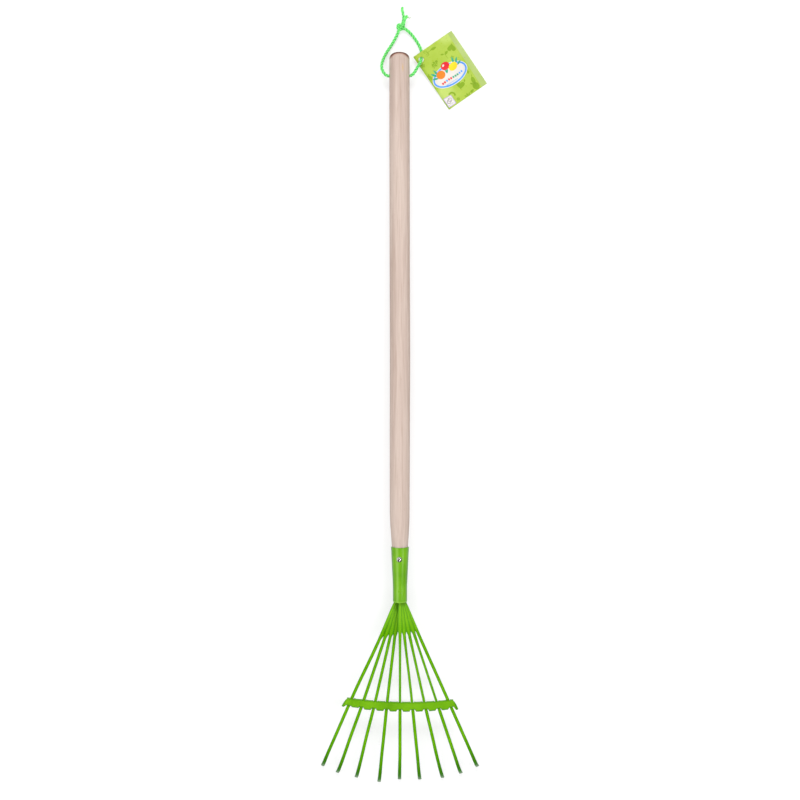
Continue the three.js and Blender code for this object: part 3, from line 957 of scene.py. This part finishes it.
# ---- socket, screw and rivet ----
def make_socket():
    """A sheet rolled round: its closed section is carried round from seam to seam."""
    mouth = SOCKET_MOUTH_RADIUS
    top = SOCKET_TOP_RADIUS
    outside = [(mouth - 0.9, 0.05), (mouth - 0.45, 0.1), (mouth - 0.15, 0.45), (mouth, 1.0)]
    outside += [(mouth, SOCKET_TAPER_START * i / 8) for i in range(1, 8)]
    for i in range(25):
        along = SOCKET_TAPER_START + (SOCKET_LENGTH - SOCKET_TAPER_START) * i / 24
        soft_corner = 0.075 * exp(-((along - SOCKET_TAPER_START) / 6) ** 2)
        outside.append((socket_inner(along) + SOCKET_WALL + soft_corner, along))
    outside[-1] = (top, SOCKET_LENGTH - 0.35)
    outside += [(top - 0.12, SOCKET_LENGTH - 0.08), (top - 0.45, SOCKET_LENGTH)]
    inside = [(top - 0.8, SOCKET_LENGTH - 0.08), (top - SOCKET_WALL, SOCKET_LENGTH - 0.4)]
    inside += [(mouth - SOCKET_WALL, SOCKET_TAPER_START), (mouth - SOCKET_WALL, 0.6)]
    section = outside + inside
    seam = SEAM_WIDTH / mouth / 2
    steps = 120
    rings = []
    places = []
    for i in range(steps + 1):
        turn = pi + seam + (2 * pi - 2 * seam) * i / steps
        rings.append([
            RAKE @ Vector((r * sin(turn), along - lip_dip(along, turn), r * cos(turn)))
            for r, along in section])
        places += [(i / steps, along / SOCKET_LENGTH) for _, along in section]
    socket = mesh_object("rolled_socket", *skin(rings), SOCKET_PAINT, "rake", "green_paint")
    map_points(socket, "sides", places)
    sharpen(socket, 30)
    cut_with(socket, rod(SCREW_HOLE_RADIUS, 10, leaning(12)))
    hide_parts("socket")


def lip_dip(along, turn):
    """How far the two rims of the rolled sheet dip towards the tines at the front."""
    front = max(0, cos(turn)) ** 2
    near_rim = max(smooth_step(10, 0, along), smooth_step(SOCKET_LENGTH - 10, SOCKET_LENGTH, along))
    return SOCKET_LIP_DIP * front * near_rim


def sharpen(piece, steepest):
    """Edges steeper than this many degrees stay crisp."""
    limit = radians(steepest)
    with edited(piece) as work:
        for edge in work.edges:
            edge.smooth = len(edge.link_faces) == 2 and edge.calc_face_angle(0) < limit


def make_screw():
    seat = socket_inner(SCREW_AT) + SOCKET_WALL + 0.15
    dome = (SCREW_HEAD_RADIUS ** 2 + SCREW_HEAD_HEIGHT ** 2) / (2 * SCREW_HEAD_HEIGHT)
    rim = degrees(acos(SCREW_HEAD_RADIUS / dome))
    profile = [(0.01, seat - SCREW_LENGTH), (SCREW_SHANK_RADIUS * 0.8, seat - SCREW_LENGTH + 3)]
    for i in range(40):
        along = seat - SCREW_LENGTH + 3 + (SCREW_LENGTH - 4) * i / 40
        profile.append((SCREW_SHANK_RADIUS * (0.86 + 0.12 * (i % 4 in (1, 2))), along))
    profile += [(SCREW_SHANK_RADIUS, seat), (SCREW_HEAD_RADIUS - 0.25, seat),
                (SCREW_HEAD_RADIUS, seat + 0.2)]
    profile += arc(0, seat + SCREW_HEAD_HEIGHT - dome, dome, rim + 6, 88, 18)
    profile.append((0.01, seat + SCREW_HEAD_HEIGHT))
    upright = leaning(0) @ Matrix.Rotation(pi / 2, 4, "X")
    solid = turned(profile, 64, upright)
    screw = mesh_object("slotted_screw", *solid, SCREW_STEEL, "rake", "screw_steel")
    slot_place = (leaning(seat + SCREW_HEAD_HEIGHT + 0.2)
                  @ Matrix.Rotation(radians(SCREW_SLOT_TURN), 4, "Z"))
    corners = [(x, y, z) for x in (-2 * SCREW_HEAD_RADIUS, 2 * SCREW_HEAD_RADIUS)
               for y in (-SCREW_SLOT_HALF_WIDTH, SCREW_SLOT_HALF_WIDTH)
               for z in (-SCREW_SLOT_DEPTH, SCREW_SLOT_DEPTH)]
    box_faces = [(0, 1, 3, 2), (4, 6, 7, 5), (0, 4, 5, 1), (2, 3, 7, 6), (0, 2, 6, 4), (1, 5, 7, 3)]
    cut_with(screw, cutter_of([slot_place @ Vector(corner) for corner in corners], box_faces))
    sharpen(screw, 28)
    # the slot's faces take the slot material: painted shade in the slot
    screw.data.materials.append(SLOT_SHADE)
    in_slot = slot_place.inverted()
    for polygon in screw.data.polygons:
        centre = in_slot @ polygon.center
        if abs(centre.y) < SCREW_SLOT_HALF_WIDTH + 0.02 and centre.z > -SCREW_SLOT_DEPTH - 0.05:
            polygon.material_index = 1
    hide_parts("socket_screw")


def make_rivet():
    seat = SOCKET_MOUTH_RADIUS + 0.02
    turns = [pi * i / 16 for i in range(1, 8)]
    dome = [(RIVET_HEAD_RADIUS * cos(turn), seat + RIVET_HEAD_HEIGHT * sin(turn))
            for turn in turns]
    head = [(RIVET_HEAD_RADIUS, seat), *dome, (0.01, seat + RIVET_HEAD_HEIGHT)]
    profile = [(r, -along) for r, along in reversed(head)]
    profile += [(RIVET_RADIUS, -seat), (RIVET_RADIUS, seat)] + head
    upright = on_rake(RIVET_AT) @ Matrix.Rotation(pi / 2, 4, "X")
    solid = turned(profile, 40, upright)
    rivet = mesh_object("painted_rivet", *solid, SOCKET_PAINT, "rake", "green_paint")
    map_points(rivet, "sides", [(0.5, 0.2)] * len(rivet.data.vertices))
    sharpen(rivet, 40)
    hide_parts("tine_rivet")


make_socket()
make_screw()
make_rivet()


# ---- tines ----
def tine_width(shoulder, waist, angle, mouth_width, distance):
    """How wide a tine is at a distance from its rivet."""
    if distance < TINE_MOUTH_END:
        return blend_between(2 * TINE_EYE_RADIUS, mouth_width, smooth_step(2, TINE_MOUTH_END, distance))
    if distance < shoulder:
        return blend_between(mouth_width, TINE_SHOULDER_WIDTH,
                             (distance - TINE_MOUTH_END) / (shoulder - TINE_MOUTH_END))
    neck = blend_between(TINE_SHOULDER_WIDTH, TINE_WIDTH * 0.97,
                         smooth_step(shoulder, shoulder + 6, distance))
    narrow = blend_between(neck, waist, smooth_step(shoulder + 6, shoulder + 28, distance))
    brace = (BRACE_TOP + RIVET_AT) / cos(radians(angle))
    return blend_between(narrow, TINE_WIDTH, smooth_step(brace, brace + 14, distance))


def tine_section(width, left_limit, right_limit, crown):
    """Points round a flat strip with soft edges, slightly crowned: (across, height)."""
    half = TINE_THICKNESS / 2
    left = min(width / 2, left_limit)
    right = min(width / 2, right_limit)
    upper = []
    lower = []
    steps = 8
    for i in range(steps + 1):
        across = blend_between(-left + SOFT_EDGE, right - SOFT_EDGE, i / steps)
        sag = crown * (2 * i / steps - 1) ** 2
        upper.append((across, half - sag))
        lower.append((across, -half - sag))
    round_right = [(right - SOFT_EDGE * 0.3, half * 0.75 - crown), (right, -crown),
                   (right - SOFT_EDGE * 0.3, -half * 0.75 - crown)]
    round_left = [(-left + SOFT_EDGE * 0.3, -half * 0.75 - crown), (-left, -crown),
                  (-left + SOFT_EDGE * 0.3, half * 0.75 - crown)]
    return upper + round_right + lower[::-1] + round_left


def tine_stations(angle, level, shoulder, waist, mouth_width, bend_start):
    """(distance from the rivet, height, slope, width, crown) of each ring, eye to tip."""
    stations = []
    for i in range(7):
        back = TINE_EYE_RADIUS * cos(radians(14 + 12.6 * i))
        width = 2 * sqrt(TINE_EYE_RADIUS ** 2 - back ** 2)
        stations.append((-back, level * TINE_LEVEL_PITCH, 0, width, 0))
    flat_steps = round(bend_start / 1.8)
    for i in range(flat_steps + 1):
        distance = bend_start * i / flat_steps
        height = level * TINE_LEVEL_PITCH * (1 - smooth_step(shoulder + 4, TINE_LEVEL_END, distance))
        crown = TINE_CROWN * smooth_step(10, 30, distance)
        width = tine_width(shoulder, waist, angle, mouth_width, distance)
        stations.append((distance, height, 0, width, crown))
    for i in range(1, 25):
        turn = BEND_ANGLE * i / 24
        stations.append((bend_start + BEND_RADIUS * sin(turn), -BEND_RADIUS * (1 - cos(turn)),
                         turn, TINE_WIDTH + TINE_TIP_FLARE * i / 24, TINE_CROWN))
    for i in range(1, 6):
        run = BEND_TAIL * i / 5 - (0.12 if i == 5 else 0)
        stations.append((
            bend_start + BEND_RADIUS * sin(BEND_ANGLE) + run * cos(BEND_ANGLE),
            -BEND_RADIUS * (1 - cos(BEND_ANGLE)) - run * sin(BEND_ANGLE),
            BEND_ANGLE, TINE_WIDTH + TINE_TIP_FLARE, TINE_CROWN))
    return stations


def make_tine(place, angle, reach, level, shoulder, waist):
    outer = place in (0, len(TINES) - 1)
    mouth_width = OUTER_TINE_MOUTH_WIDTH if outer else TINE_MOUTH_WIDTH
    left_limit = TINE_WIDTH / 2 if outer and angle < 0 else TINE_SHOULDER_WIDTH
    right_limit = TINE_WIDTH / 2 if outer and angle > 0 else TINE_SHOULDER_WIDTH
    lean = cos(radians(angle))
    tip = (reach + RIVET_AT) / lean
    bend_start = tip - BEND_RADIUS * sin(BEND_ANGLE) - BEND_TAIL * cos(BEND_ANGLE)
    line = on_rake(RIVET_AT) @ Matrix.Rotation(radians(angle), 4, "Z")
    rings = []
    places = []
    for distance, height, slope, width, crown in tine_stations(
            angle, level, shoulder, waist, mouth_width, bend_start):
        sway = Vector((smooth_table(SWAY_DEPTHS, TINE_SWAY[place], distance * lean) * MM, 0, 0))
        spare = TINE_TIP_FLARE / 2 if distance > bend_start else 0
        section = tine_section(width, left_limit + spare, right_limit + spare, crown)
        rings.append([sway + line @ Vector((across, -distance - rise * sin(slope),
                                            height + rise * cos(slope)))
                      for across, rise in section])
        places += [(0.5 + across / width, distance / tip) for across, _ in section]
    number = place + 1
    tine = mesh_object(f"spring_tine_{number}", *skin(rings), TINE_PAINT, "tine_fan", "green_paint")
    map_points(tine, "sides", places)
    eye = on_rake(RIVET_AT, level * TINE_LEVEL_PITCH)
    cut_with(tine, rod(TINE_HOLE_RADIUS, 1.0, eye, 32))
    sharpen(tine, 50)
    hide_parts(f"tine_{number}")


for place, tine in enumerate(TINES):
    make_tine(place, *tine)


# ---- brace ----
def fold_at(across):
    """Where the bowed fold of the brace lies below the mouth of the socket."""
    return BRACE_TOP - (BRACE_ARC_RADIUS - sqrt(BRACE_ARC_RADIUS ** 2 - across ** 2))


def brace_point(across, depth, height):
    return Vector((across, -(fold_at(across) + depth), height))


def tine_crossings(depth):
    """Where the tines pass the brace, at a depth below its fold."""
    crossings = []
    for (angle, *_), sway in zip(TINES, TINE_SWAY):
        across = 0
        for _ in range(4):
            lies_at = fold_at(across) + depth + across * tan(BRACE_SKEW)
            across = tan(radians(angle)) * (lies_at + RIVET_AT) + sway[2]
        crossings.append(across)
    return crossings


def brace_columns():
    """(across at the fold, across at the lower edge, depth of the lower edge)."""
    crossings = tine_crossings(BRACE_HEIGHT)
    columns = []
    for number, (left, right) in enumerate(zip(crossings, crossings[1:])):
        middle = (left + right) / 2
        tab = 0.55 if number == 0 else 1
        for shift, depth in ((-5.3, 0), (-3.8, 1), (-1.5, 1.06), (1.5, 0.98), (3.8, 1), (5.3, 0)):
            columns.append((middle + shift, middle + shift, BRACE_HEIGHT + BRACE_TAB_DEPTH * depth * tab))
    for crossing in crossings:
        columns.append((crossing, crossing, BRACE_HEIGHT))
    end = BRACE_HALF_LENGTH
    for side in (-1, 1):
        for inward, reach, share in (
            (3.4, -2.4, 0), (2.4, -0.9, -0.15), (1.6, 0.3, -0.15), (1.0, 1.6, 0.25), (0.6, 2.8, 0.7),
            (0.35, 3.9, 1), (0.2, 4.8, 1.06), (0.1, 5.6, 0.95), (0, BRACE_HORN_REACH, 0.7),
        ):
            drop = share * BRACE_HORN_DROP[side]
            columns.append((side * (end - inward), side * (end + reach), BRACE_HEIGHT + drop))
    return sorted(columns)


def denser(columns, step):
    """More columns between the given ones, no further apart than step."""
    full = []
    for a, b in zip(columns, columns[1:]):
        count = max(1, ceil((b[0] - a[0]) / step))
        full += [tuple(blend_between(p, q, i / count) for p, q in zip(a, b)) for i in range(count)]
    return full + [columns[-1]]


def horn_curve(top, bottom, part):
    """Across at a part of the way down: straight inside, bowed outwards at the horns."""
    if abs(top) < BRACE_HALF_LENGTH - 2.5:
        return blend_between(top, bottom, part)
    return blend_between(top, bottom, part ** 0.72)


def brace_grid(columns, slots):
    """Points of the folded sheet by column, from the lower edge over the fold to the back."""
    middle = BRACE_INSIDE / 2 + BRACE_WALL / 2
    grid = []
    places = []
    for top, bottom, depth in columns:
        lump = sum(0.9 * exp(-((top - x) / 3.0) ** 2) for x in slots)
        across = 0.5 + top / 150
        column = []
        for i in range(FLANGE_STEPS):
            t = 1 - i / FLANGE_STEPS
            column.append(brace_point(horn_curve(top, bottom, t), blend_between(middle, depth, t), middle))
            places.append((across, 0.08 + 0.92 * t))
        for i in range(FOLD_STEPS + 1):
            turn = pi * i / FOLD_STEPS
            deep = middle - (middle + lump) * sin(turn)
            column.append(brace_point(top, deep, middle * cos(turn)))
            places.append((across, 0.08 * abs(cos(turn))))
        for i in range(1, FLANGE_STEPS + 1):
            t = i / FLANGE_STEPS
            deep = blend_between(middle, BRACE_HEIGHT - 1.4, t)
            column.append(brace_point(blend_between(top, bottom, t * 0.6), deep, -middle))
            places.append((across, 0.08 + 0.92 * t))
        grid.append(column)
    return grid, places


def make_brace():
    columns = denser(brace_columns(), 0.9)
    slots = tine_crossings(0)
    grid, places = brace_grid(columns, slots)
    rows = len(grid[0])
    faces = []
    for c in range(len(grid) - 1):
        across = (columns[c][0] + columns[c + 1][0]) / 2
        in_slot = any(abs(across - x) < TINE_WIDTH / 2 + 0.5 for x in slots)
        for r in range(rows - 1):
            if in_slot and FLANGE_STEPS < r < FLANGE_STEPS + FOLD_STEPS - 1:
                continue
            a = c * rows + r
            faces.append((a, a + rows, a + rows + 1, a + 1))
    pivot = Matrix.Translation((0, -(BRACE_TOP + BRACE_HEIGHT / 2), 0))
    skewed = RAKE @ pivot @ Matrix.Rotation(-BRACE_SKEW, 4, "Z") @ pivot.inverted()
    vertices = [skewed @ point for column in grid for point in column]
    brace = mesh_object("folded_brace", vertices, faces, BRACE_PAINT, "tine_fan", "green_paint")
    map_points(brace, "sides", places)
    thick = brace.modifiers.new("thickness", "SOLIDIFY")
    thick.thickness = BRACE_WALL * MM
    thick.offset = 0
    soft = brace.modifiers.new("soft_edges", "BEVEL")
    soft.width = SOFT_EDGE * MM
    soft.segments = 3
    soft.limit_method = "ANGLE"
    soft.angle_limit = radians(40)
    apply_modifiers(brace)
    sharpen(brace, 60)
    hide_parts("tine_brace")


make_brace()


# ---- tag ----
def card_height(x, y):
    """A gentle curl: the card lifts a little towards its free edge."""
    across = (x + TAG_HOLE_FROM_FOLD) / TAG_WIDTH
    along = (TAG_HOLE_FROM_EDGE - y) / TAG_LENGTH
    return 0.5 * across * across * sin(pi * along) - 0.12 * sin(pi * across)


def on_card(x, y, level):
    return TAG @ Vector((x, y, level + card_height(x, y)))


def leaf_place(x, y):
    """The card's UV map: across it from its fold, and down it from its top edge."""
    return (x + TAG_HOLE_FROM_FOLD) / TAG_WIDTH, (TAG_HOLE_FROM_EDGE - y) / TAG_LENGTH


def evenly(outline, step):
    """More points along a closed outline, no further apart than step."""
    full = []
    for (x0, y0), (x1, y1) in zip(outline, outline[1:] + outline[:1]):
        count = max(1, ceil(hypot(x1 - x0, y1 - y0) / step))
        full += [(blend_between(x0, x1, i / count), blend_between(y0, y1, i / count))
                 for i in range(count)]
    return full


def card_leaf(name, right_above, right_below, level, look):
    """One leaf of the card: rings from its round hole out to its edge, above and below."""
    left = -TAG_HOLE_FROM_FOLD
    top = TAG_HOLE_FROM_EDGE
    bottom = top - TAG_LENGTH
    edge = evenly([(right_above, top), (left, top), (left, bottom), (right_below, bottom)], 1.8)
    spread = [(i / 26) ** 1.25 for i in range(27)]
    rings = []
    places = []
    for side, parts in ((TAG_LEAF, spread), (0, spread[::-1])):
        for share in parts:
            ring = []
            for x, y in edge:
                part = blend_between(TAG_HOLE_RADIUS / hypot(x, y), 1, share)
                ring.append(on_card(x * part, y * part, level + side))
                places.append(leaf_place(x * part, y * part))
            rings.append(ring)
    leaf = mesh_object(name, *skin(rings, closed_along=True), look, "tag", "card")
    map_points(leaf, "leaf", places)
    sharpen(leaf, 35)
    return leaf


def card_fold():
    """The rounded edge that joins the two leaves."""
    steps_down = 60
    steps_round = 12
    edge = -TAG_HOLE_FROM_FOLD
    turns = [pi / 2 + pi * k / steps_round for k in range(steps_round + 1)]
    rings = []
    places = []
    for i in range(steps_down + 1):
        y = TAG_HOLE_FROM_EDGE - TAG_LENGTH * i / steps_down
        rings.append([
            TAG @ Vector((edge + TAG_FOLD_RADIUS * cos(turn), y,
                          TAG_FOLD_RADIUS * sin(turn) + card_height(edge, y))) for turn in turns])
        places += [(0, i / steps_down)] * len(turns)
    fold = mesh_object("tag_fold", *skin(rings), CARD_FRONT, "tag", "card")
    map_points(fold, "leaf", places)
    return fold


def printed(name, shapes, look, lift):
    """Shapes printed on the front leaf: each one is rings of points closing on its middle."""
    level = TAG_FOLD_GAP / 2 + TAG_LEAF + lift
    flat = []
    faces = []
    for shape in shapes:
        outline = evenly(shape, 1.0)
        x_middle = sum(x for x, _ in shape) / len(shape)
        y_middle = sum(y for _, y in shape) / len(shape)
        size = max(hypot(x - x_middle, y - y_middle) for x, y in outline)
        steps = max(1, ceil(size / 1.6))
        start = len(flat)
        count = len(outline)
        for step in range(steps):
            part = 1 - step / steps
            flat += [(blend_between(x_middle, x, part), blend_between(y_middle, y, part))
                     for x, y in outline]
        flat.append((x_middle, y_middle))
        for step in range(steps - 1):
            near = start + step * count
            faces += [(near + k, near + (k + 1) % count, near + count + (k + 1) % count, near + count + k)
                      for k in range(count)]
        near = start + (steps - 1) * count
        faces += [(near + k, near + (k + 1) % count, near + count) for k in range(count)]
    piece = bare_mesh(name, [on_card(x, y, level) for x, y in flat], faces)
    piece.data.materials.append(look)
    map_points(piece, "leaf", [leaf_place(x, y) for x, y in flat])
    face_up(piece)
    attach(piece, "tag")
    return piece


def face_up(piece):
    """Turns every face of a nearly level sheet upwards."""
    with edited(piece) as work:
        work.normal_update()
        bmesh.ops.reverse_faces(work, faces=[face for face in work.faces if face.normal.z < 0])


def turned_points(points, x, y, turn):
    return [(x + px * cos(turn) - py * sin(turn), y + px * sin(turn) + py * cos(turn))
            for px, py in points]


def ellipse(x, y, width, height, turn=0.0, count=36):
    points = [(width / 2 * cos(a), height / 2 * sin(a)) for a in round_turns(count)]
    return turned_points(points, x, y, turn)


def leaf_shape(x, y, length, width, turn):
    """A pointed leaf outline."""
    points = [(length / 2 * cos(a), width / 2 * sin(a) * (1 - 0.35 * abs(cos(a))))
              for a in round_turns(24)]
    return turned_points(points, x, y, turn)


def heart(x, y, size, turn):
    points = []
    for t in round_turns(32):
        px = 16 * sin(t) ** 3 / 32 * size
        py = (13 * cos(t) - 5 * cos(2 * t) - 2 * cos(3 * t) - cos(4 * t)) / 32 * size
        points.append((px, py))
    return turned_points(points, x, y, turn)


def bar(x0, y0, x1, y1, width):
    direction = Vector((x1 - x0, y1 - y0)).normalized()
    side = Vector((-direction.y, direction.x)) * (width / 2)
    return [(x0 + side.x, y0 + side.y), (x0 - side.x, y0 - side.y),
            (x1 - side.x, y1 - side.y), (x1 + side.x, y1 + side.y)]


def flower(x, y, size):
    """Five petals round a middle."""
    return [ellipse(x + size * 0.3 * cos(turn), y + size * 0.3 * sin(turn),
                    size * 0.42, size * 0.3, turn, 16) for turn in round_turns(5)]


def curved_band(x, y, radius, start, end, width, pieces=7):
    """A thick arc, as short bars that overlap a little."""
    shapes = []
    for i in range(pieces):
        a = radians(blend_between(start, end, i / pieces))
        b = radians(blend_between(start, end, (i + 1.12) / pieces))
        shapes.append(bar(x + radius * cos(a), y + radius * sin(a),
                          x + radius * cos(b), y + radius * sin(b), width))
    return shapes


def garden_motifs():
    """The pattern all over the card: a hand fork, leaves, a beetle, flowers and a pear."""
    return [
        leaf_shape(20.2, 2.7, 8, 3.4, -0.1), bar(17, 2.7, 11.6, 2.5, 0.7), bar(11.6, -0.8, 11.2, 5.8, 0.8),
        bar(11.2, 5.5, 6.6, 5.9, 0.6), bar(11.3, 3.4, 7.2, 4.0, 0.6), bar(11.5, 1.3, 7.6, 1.3, 0.6),
        bar(11.6, -0.6, 7.8, -0.9, 0.6),
        heart(39.6, -9.4, 10.8, 2.55), bar(41.6, -13.2, 40.6, -10.4, 0.7),
        bar(28.5, -18, 28.2, -11.6, 0.6), leaf_shape(30.6, -10.6, 6.2, 3.4, 0.35),
        leaf_shape(25.2, -9.6, 4.8, 2.2, 2.8),
        ellipse(10.5, -14.2, 8.2, 6.8, 0.35), ellipse(14.6, -12.6, 2.8, 3.2, 0.35),
        bar(6.6, -19, 8.6, -17, 0.5), bar(12.4, -18.9, 11.8, -17, 0.5),
        leaf_shape(-3.2, -25.4, 7.4, 3.8, 1.75), leaf_shape(-3.6, -21.4, 4.4, 2.2, 0.7),
        heart(23.0, -53.8, 10.6, -0.55), bar(25.0, -48.9, 24.6, -50.6, 0.8),
        ellipse(38.4, -65.4, 8.2, 9.4, 0.1), ellipse(39.4, -57.8, 5.0, 9.2, -0.15),
        bar(40.2, -53.6, 41.4, -50.6, 0.8), leaf_shape(35.4, -60.2, 4.4, 2.4, 2.3),
        leaf_shape(23.1, -68.4, 4.6, 2.2, 1.4), leaf_shape(20.6, -68.9, 4.2, 2.0, 2.3),
        leaf_shape(25.6, -68.9, 4.2, 2.0, 0.7),
        *curved_band(6.6, -58.6, 3.9, -35, 130, 2.2), leaf_shape(39.6, -45.6, 4.6, 2.6, 1.2),
        *flower(-2.5, -7.6, 5.4), *flower(33.6, -19.6, 4.6), *flower(10.8, -66.4, 4.8),
        leaf_shape(30.6, -68.0, 6.0, 3.2, 0.2), leaf_shape(30.0, -52.0, 3.8, 2.0, 0.9),
    ]


def badge_prints():
    """(name, shapes, look, lift) of the badge: fruit and leaves over a row of dots."""
    blue = card_look("card_blue", srgb(66, 136, 218), srgb(98, 164, 232))
    cream = card_look("card_cream", srgb(208, 203, 198), srgb(217, 211, 205))
    green = card_look("card_leaf_green", srgb(30, 140, 108), srgb(54, 168, 128))
    orange = card_look("card_orange", srgb(206, 108, 20), srgb(222, 130, 34))
    yellow = card_look("card_yellow", srgb(240, 196, 20), srgb(250, 214, 52))
    red = card_look("card_red", srgb(196, 20, 34), srgb(222, 44, 52))
    x, y, turn = 19.3, -35.6, -0.05
    leaves = [
        leaf_shape(2.4, -25.6, 9.0, 2.8, 2.2), leaf_shape(5.8, -24.2, 9.6, 2.8, 1.75),
        leaf_shape(1.4, -30.2, 7.6, 2.6, 2.75), leaf_shape(32.0, -23.4, 9.6, 2.8, 1.35),
        leaf_shape(35.6, -25.2, 8.6, 2.6, 0.85), leaf_shape(18.8, -28.4, 8.4, 4.2, 1.2),
        leaf_shape(37.0, -29.4, 7.2, 2.4, 0.4),
    ]
    dots = {"red": [], "blue": [], "green": []}
    kinds = ["red", "red", "blue", "red", "red", "green", "green", "green", "blue", "blue"]
    for i, kind in enumerate(kinds):
        dots[kind].append(ellipse(5.6 + 3.1 * i, -40.2 + 0.5 * sin(0.7 * i), 2.4, 2.9, 0.2, 16))
    return [
        ("tag_badge_halo", [ellipse(x, y, 48.2, 27.8, turn, 64)], cream, 0.03),
        ("tag_badge_ring", [ellipse(x, y, 46.6, 26.2, turn, 64)], blue, 0.05),
        ("tag_badge_oval", [ellipse(x, y, 42.2, 21.9, turn, 64)], cream, 0.07),
        ("tag_badge_leaves", leaves, green, 0.09),
        ("tag_badge_dots_red", dots["red"], red, 0.09),
        ("tag_badge_dots_blue", dots["blue"] + [bar(8, -44.2, 25, -45.0, 0.5)], blue, 0.09),
        ("tag_badge_dots_green", dots["green"], green, 0.09),
        ("tag_badge_apple", [ellipse(20.2, -23.4, 11.6, 9.8, 0.1)], red, 0.11),
        ("tag_badge_orange", [ellipse(9.6, -29.6, 11.4, 10.4, 0.0)], orange, 0.13),
        ("tag_badge_lemon", [ellipse(28.2, -29.2, 12.4, 9.4, 0.25)], yellow, 0.13),
        ("tag_badge_shine", [ellipse(18.4, -21.6, 3.4, 2.2, 0.6)], cream, 0.15),
    ]


def make_tag():
    front_right = TAG_WIDTH - TAG_HOLE_FROM_FOLD - TAG_BACK_SHOWS
    back_right = TAG_WIDTH - TAG_HOLE_FROM_FOLD
    pieces = [
        card_leaf("tag_front_leaf", front_right, front_right - TAG_FRONT_SKEW, TAG_FOLD_GAP / 2,
                  CARD_FRONT),
        card_leaf("tag_back_leaf", back_right, back_right, -TAG_FOLD_GAP / 2 - TAG_LEAF, CARD_BACK),
        card_fold(),
    ]
    lilac = card_look("card_lilac", srgb(176, 150, 206), srgb(192, 170, 220))
    white = card_look("card_white", srgb(212, 208, 205), srgb(221, 217, 213))
    dark = card_look("card_grey", srgb(120, 116, 120), srgb(142, 138, 140))
    icon = [*curved_band(1.4, -61.4, 2.4, 0, 350, 0.6, 14), *curved_band(-0.6, -62.6, 2.4, 0, 350, 0.6, 14)]
    icon += [ellipse(-2.6 + 1.7 * i, -66.6, 0.9, 0.9, 0, 10) for i in range(4)]
    prints = [
        ("tag_motifs", garden_motifs(), CARD_PRINT, 0.015),
        ("tag_beetle_spots", [bar(7, -15.6, 13.9, -12.9, 0.5), ellipse(9.2, -12.2, 1.6, 1.5),
                              ellipse(12.2, -11.6, 1.4, 1.3), ellipse(9.4, -16.6, 1.5, 1.4),
                              ellipse(12.4, -15.4, 1.4, 1.3)], CARD_FRONT, 0.03),
        *badge_prints(),
        ("tag_label_edge", [[(-5.0, -56.0), (5.8, -56.8), (5.8, -69.2), (-5.0, -68.9)]], lilac, 0.05),
        ("tag_label", [[(-4.2, -56.9), (5.0, -57.6), (5.0, -68.4), (-4.2, -68.1)]], white, 0.07),
        ("tag_label_icon", icon, dark, 0.09),
        ("tag_strip_marks", [ellipse(47.0, -4.5, 0.9, 0.6), ellipse(47.4, -8.2, 0.7, 0.9),
                             ellipse(46.6, -28.6, 1.0, 0.7), ellipse(47.2, -37.4, 0.8, 0.6)],
         dark, -0.37),
    ]
    pieces += [printed(*row) for row in prints]
    for piece in pieces:
        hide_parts("card_tag")


make_tag()


# ---- floor and light ----
def make_floor():
    bpy.ops.mesh.primitive_plane_add(size=8, location=(0, 0, -0.0002))
    floor = bpy.context.object
    floor.name = "floor"
    look = Look("pale_floor", Roughness=0.9, Emission_Color=(1, 1, 1, 1), Emission_Strength=0.6)
    look.colour(look.between(look.noise(3, 3), 0.35, 0.37))
    floor.data.materials.append(look.material)


def softbox(name, location, size, watts):
    data = bpy.data.lights.new(name, "AREA")
    data.shape = "RECTANGLE"
    data.size, data.size_y = size
    data.energy = watts
    light = bpy.data.objects.new(name, data)
    light.location = location
    aim = Vector((0, 0, 0)) - Vector(location)
    light.rotation_mode = "QUATERNION"
    light.rotation_quaternion = aim.to_track_quat("-Z", "Y")
    bpy.context.scene.collection.objects.link(light)


def make_light():
    softbox("front_softbox", (0, -2.7, 2.7), (2.8, 1.2), 58)
    softbox("back_softbox", (0, 2.75, 2.7), (2.8, 1.2), 112)
    softbox("left_strip", (-2.3, 0, 2.4), (0.4, 2.6), 34)
    softbox("right_strip", (1.9, 0, 2.5), (0.2, 2.2), 33)
    world = bpy.data.worlds.new("soft_room")
    world.use_nodes = True
    background = world.node_tree.nodes["Background"]
    background.inputs["Color"].default_value = (1, 1, 1, 1)
    background.inputs["Strength"].default_value = 0.2
    bpy.context.scene.world = world
    bpy.context.scene.view_settings.view_transform = "Standard"


make_floor()
make_light()
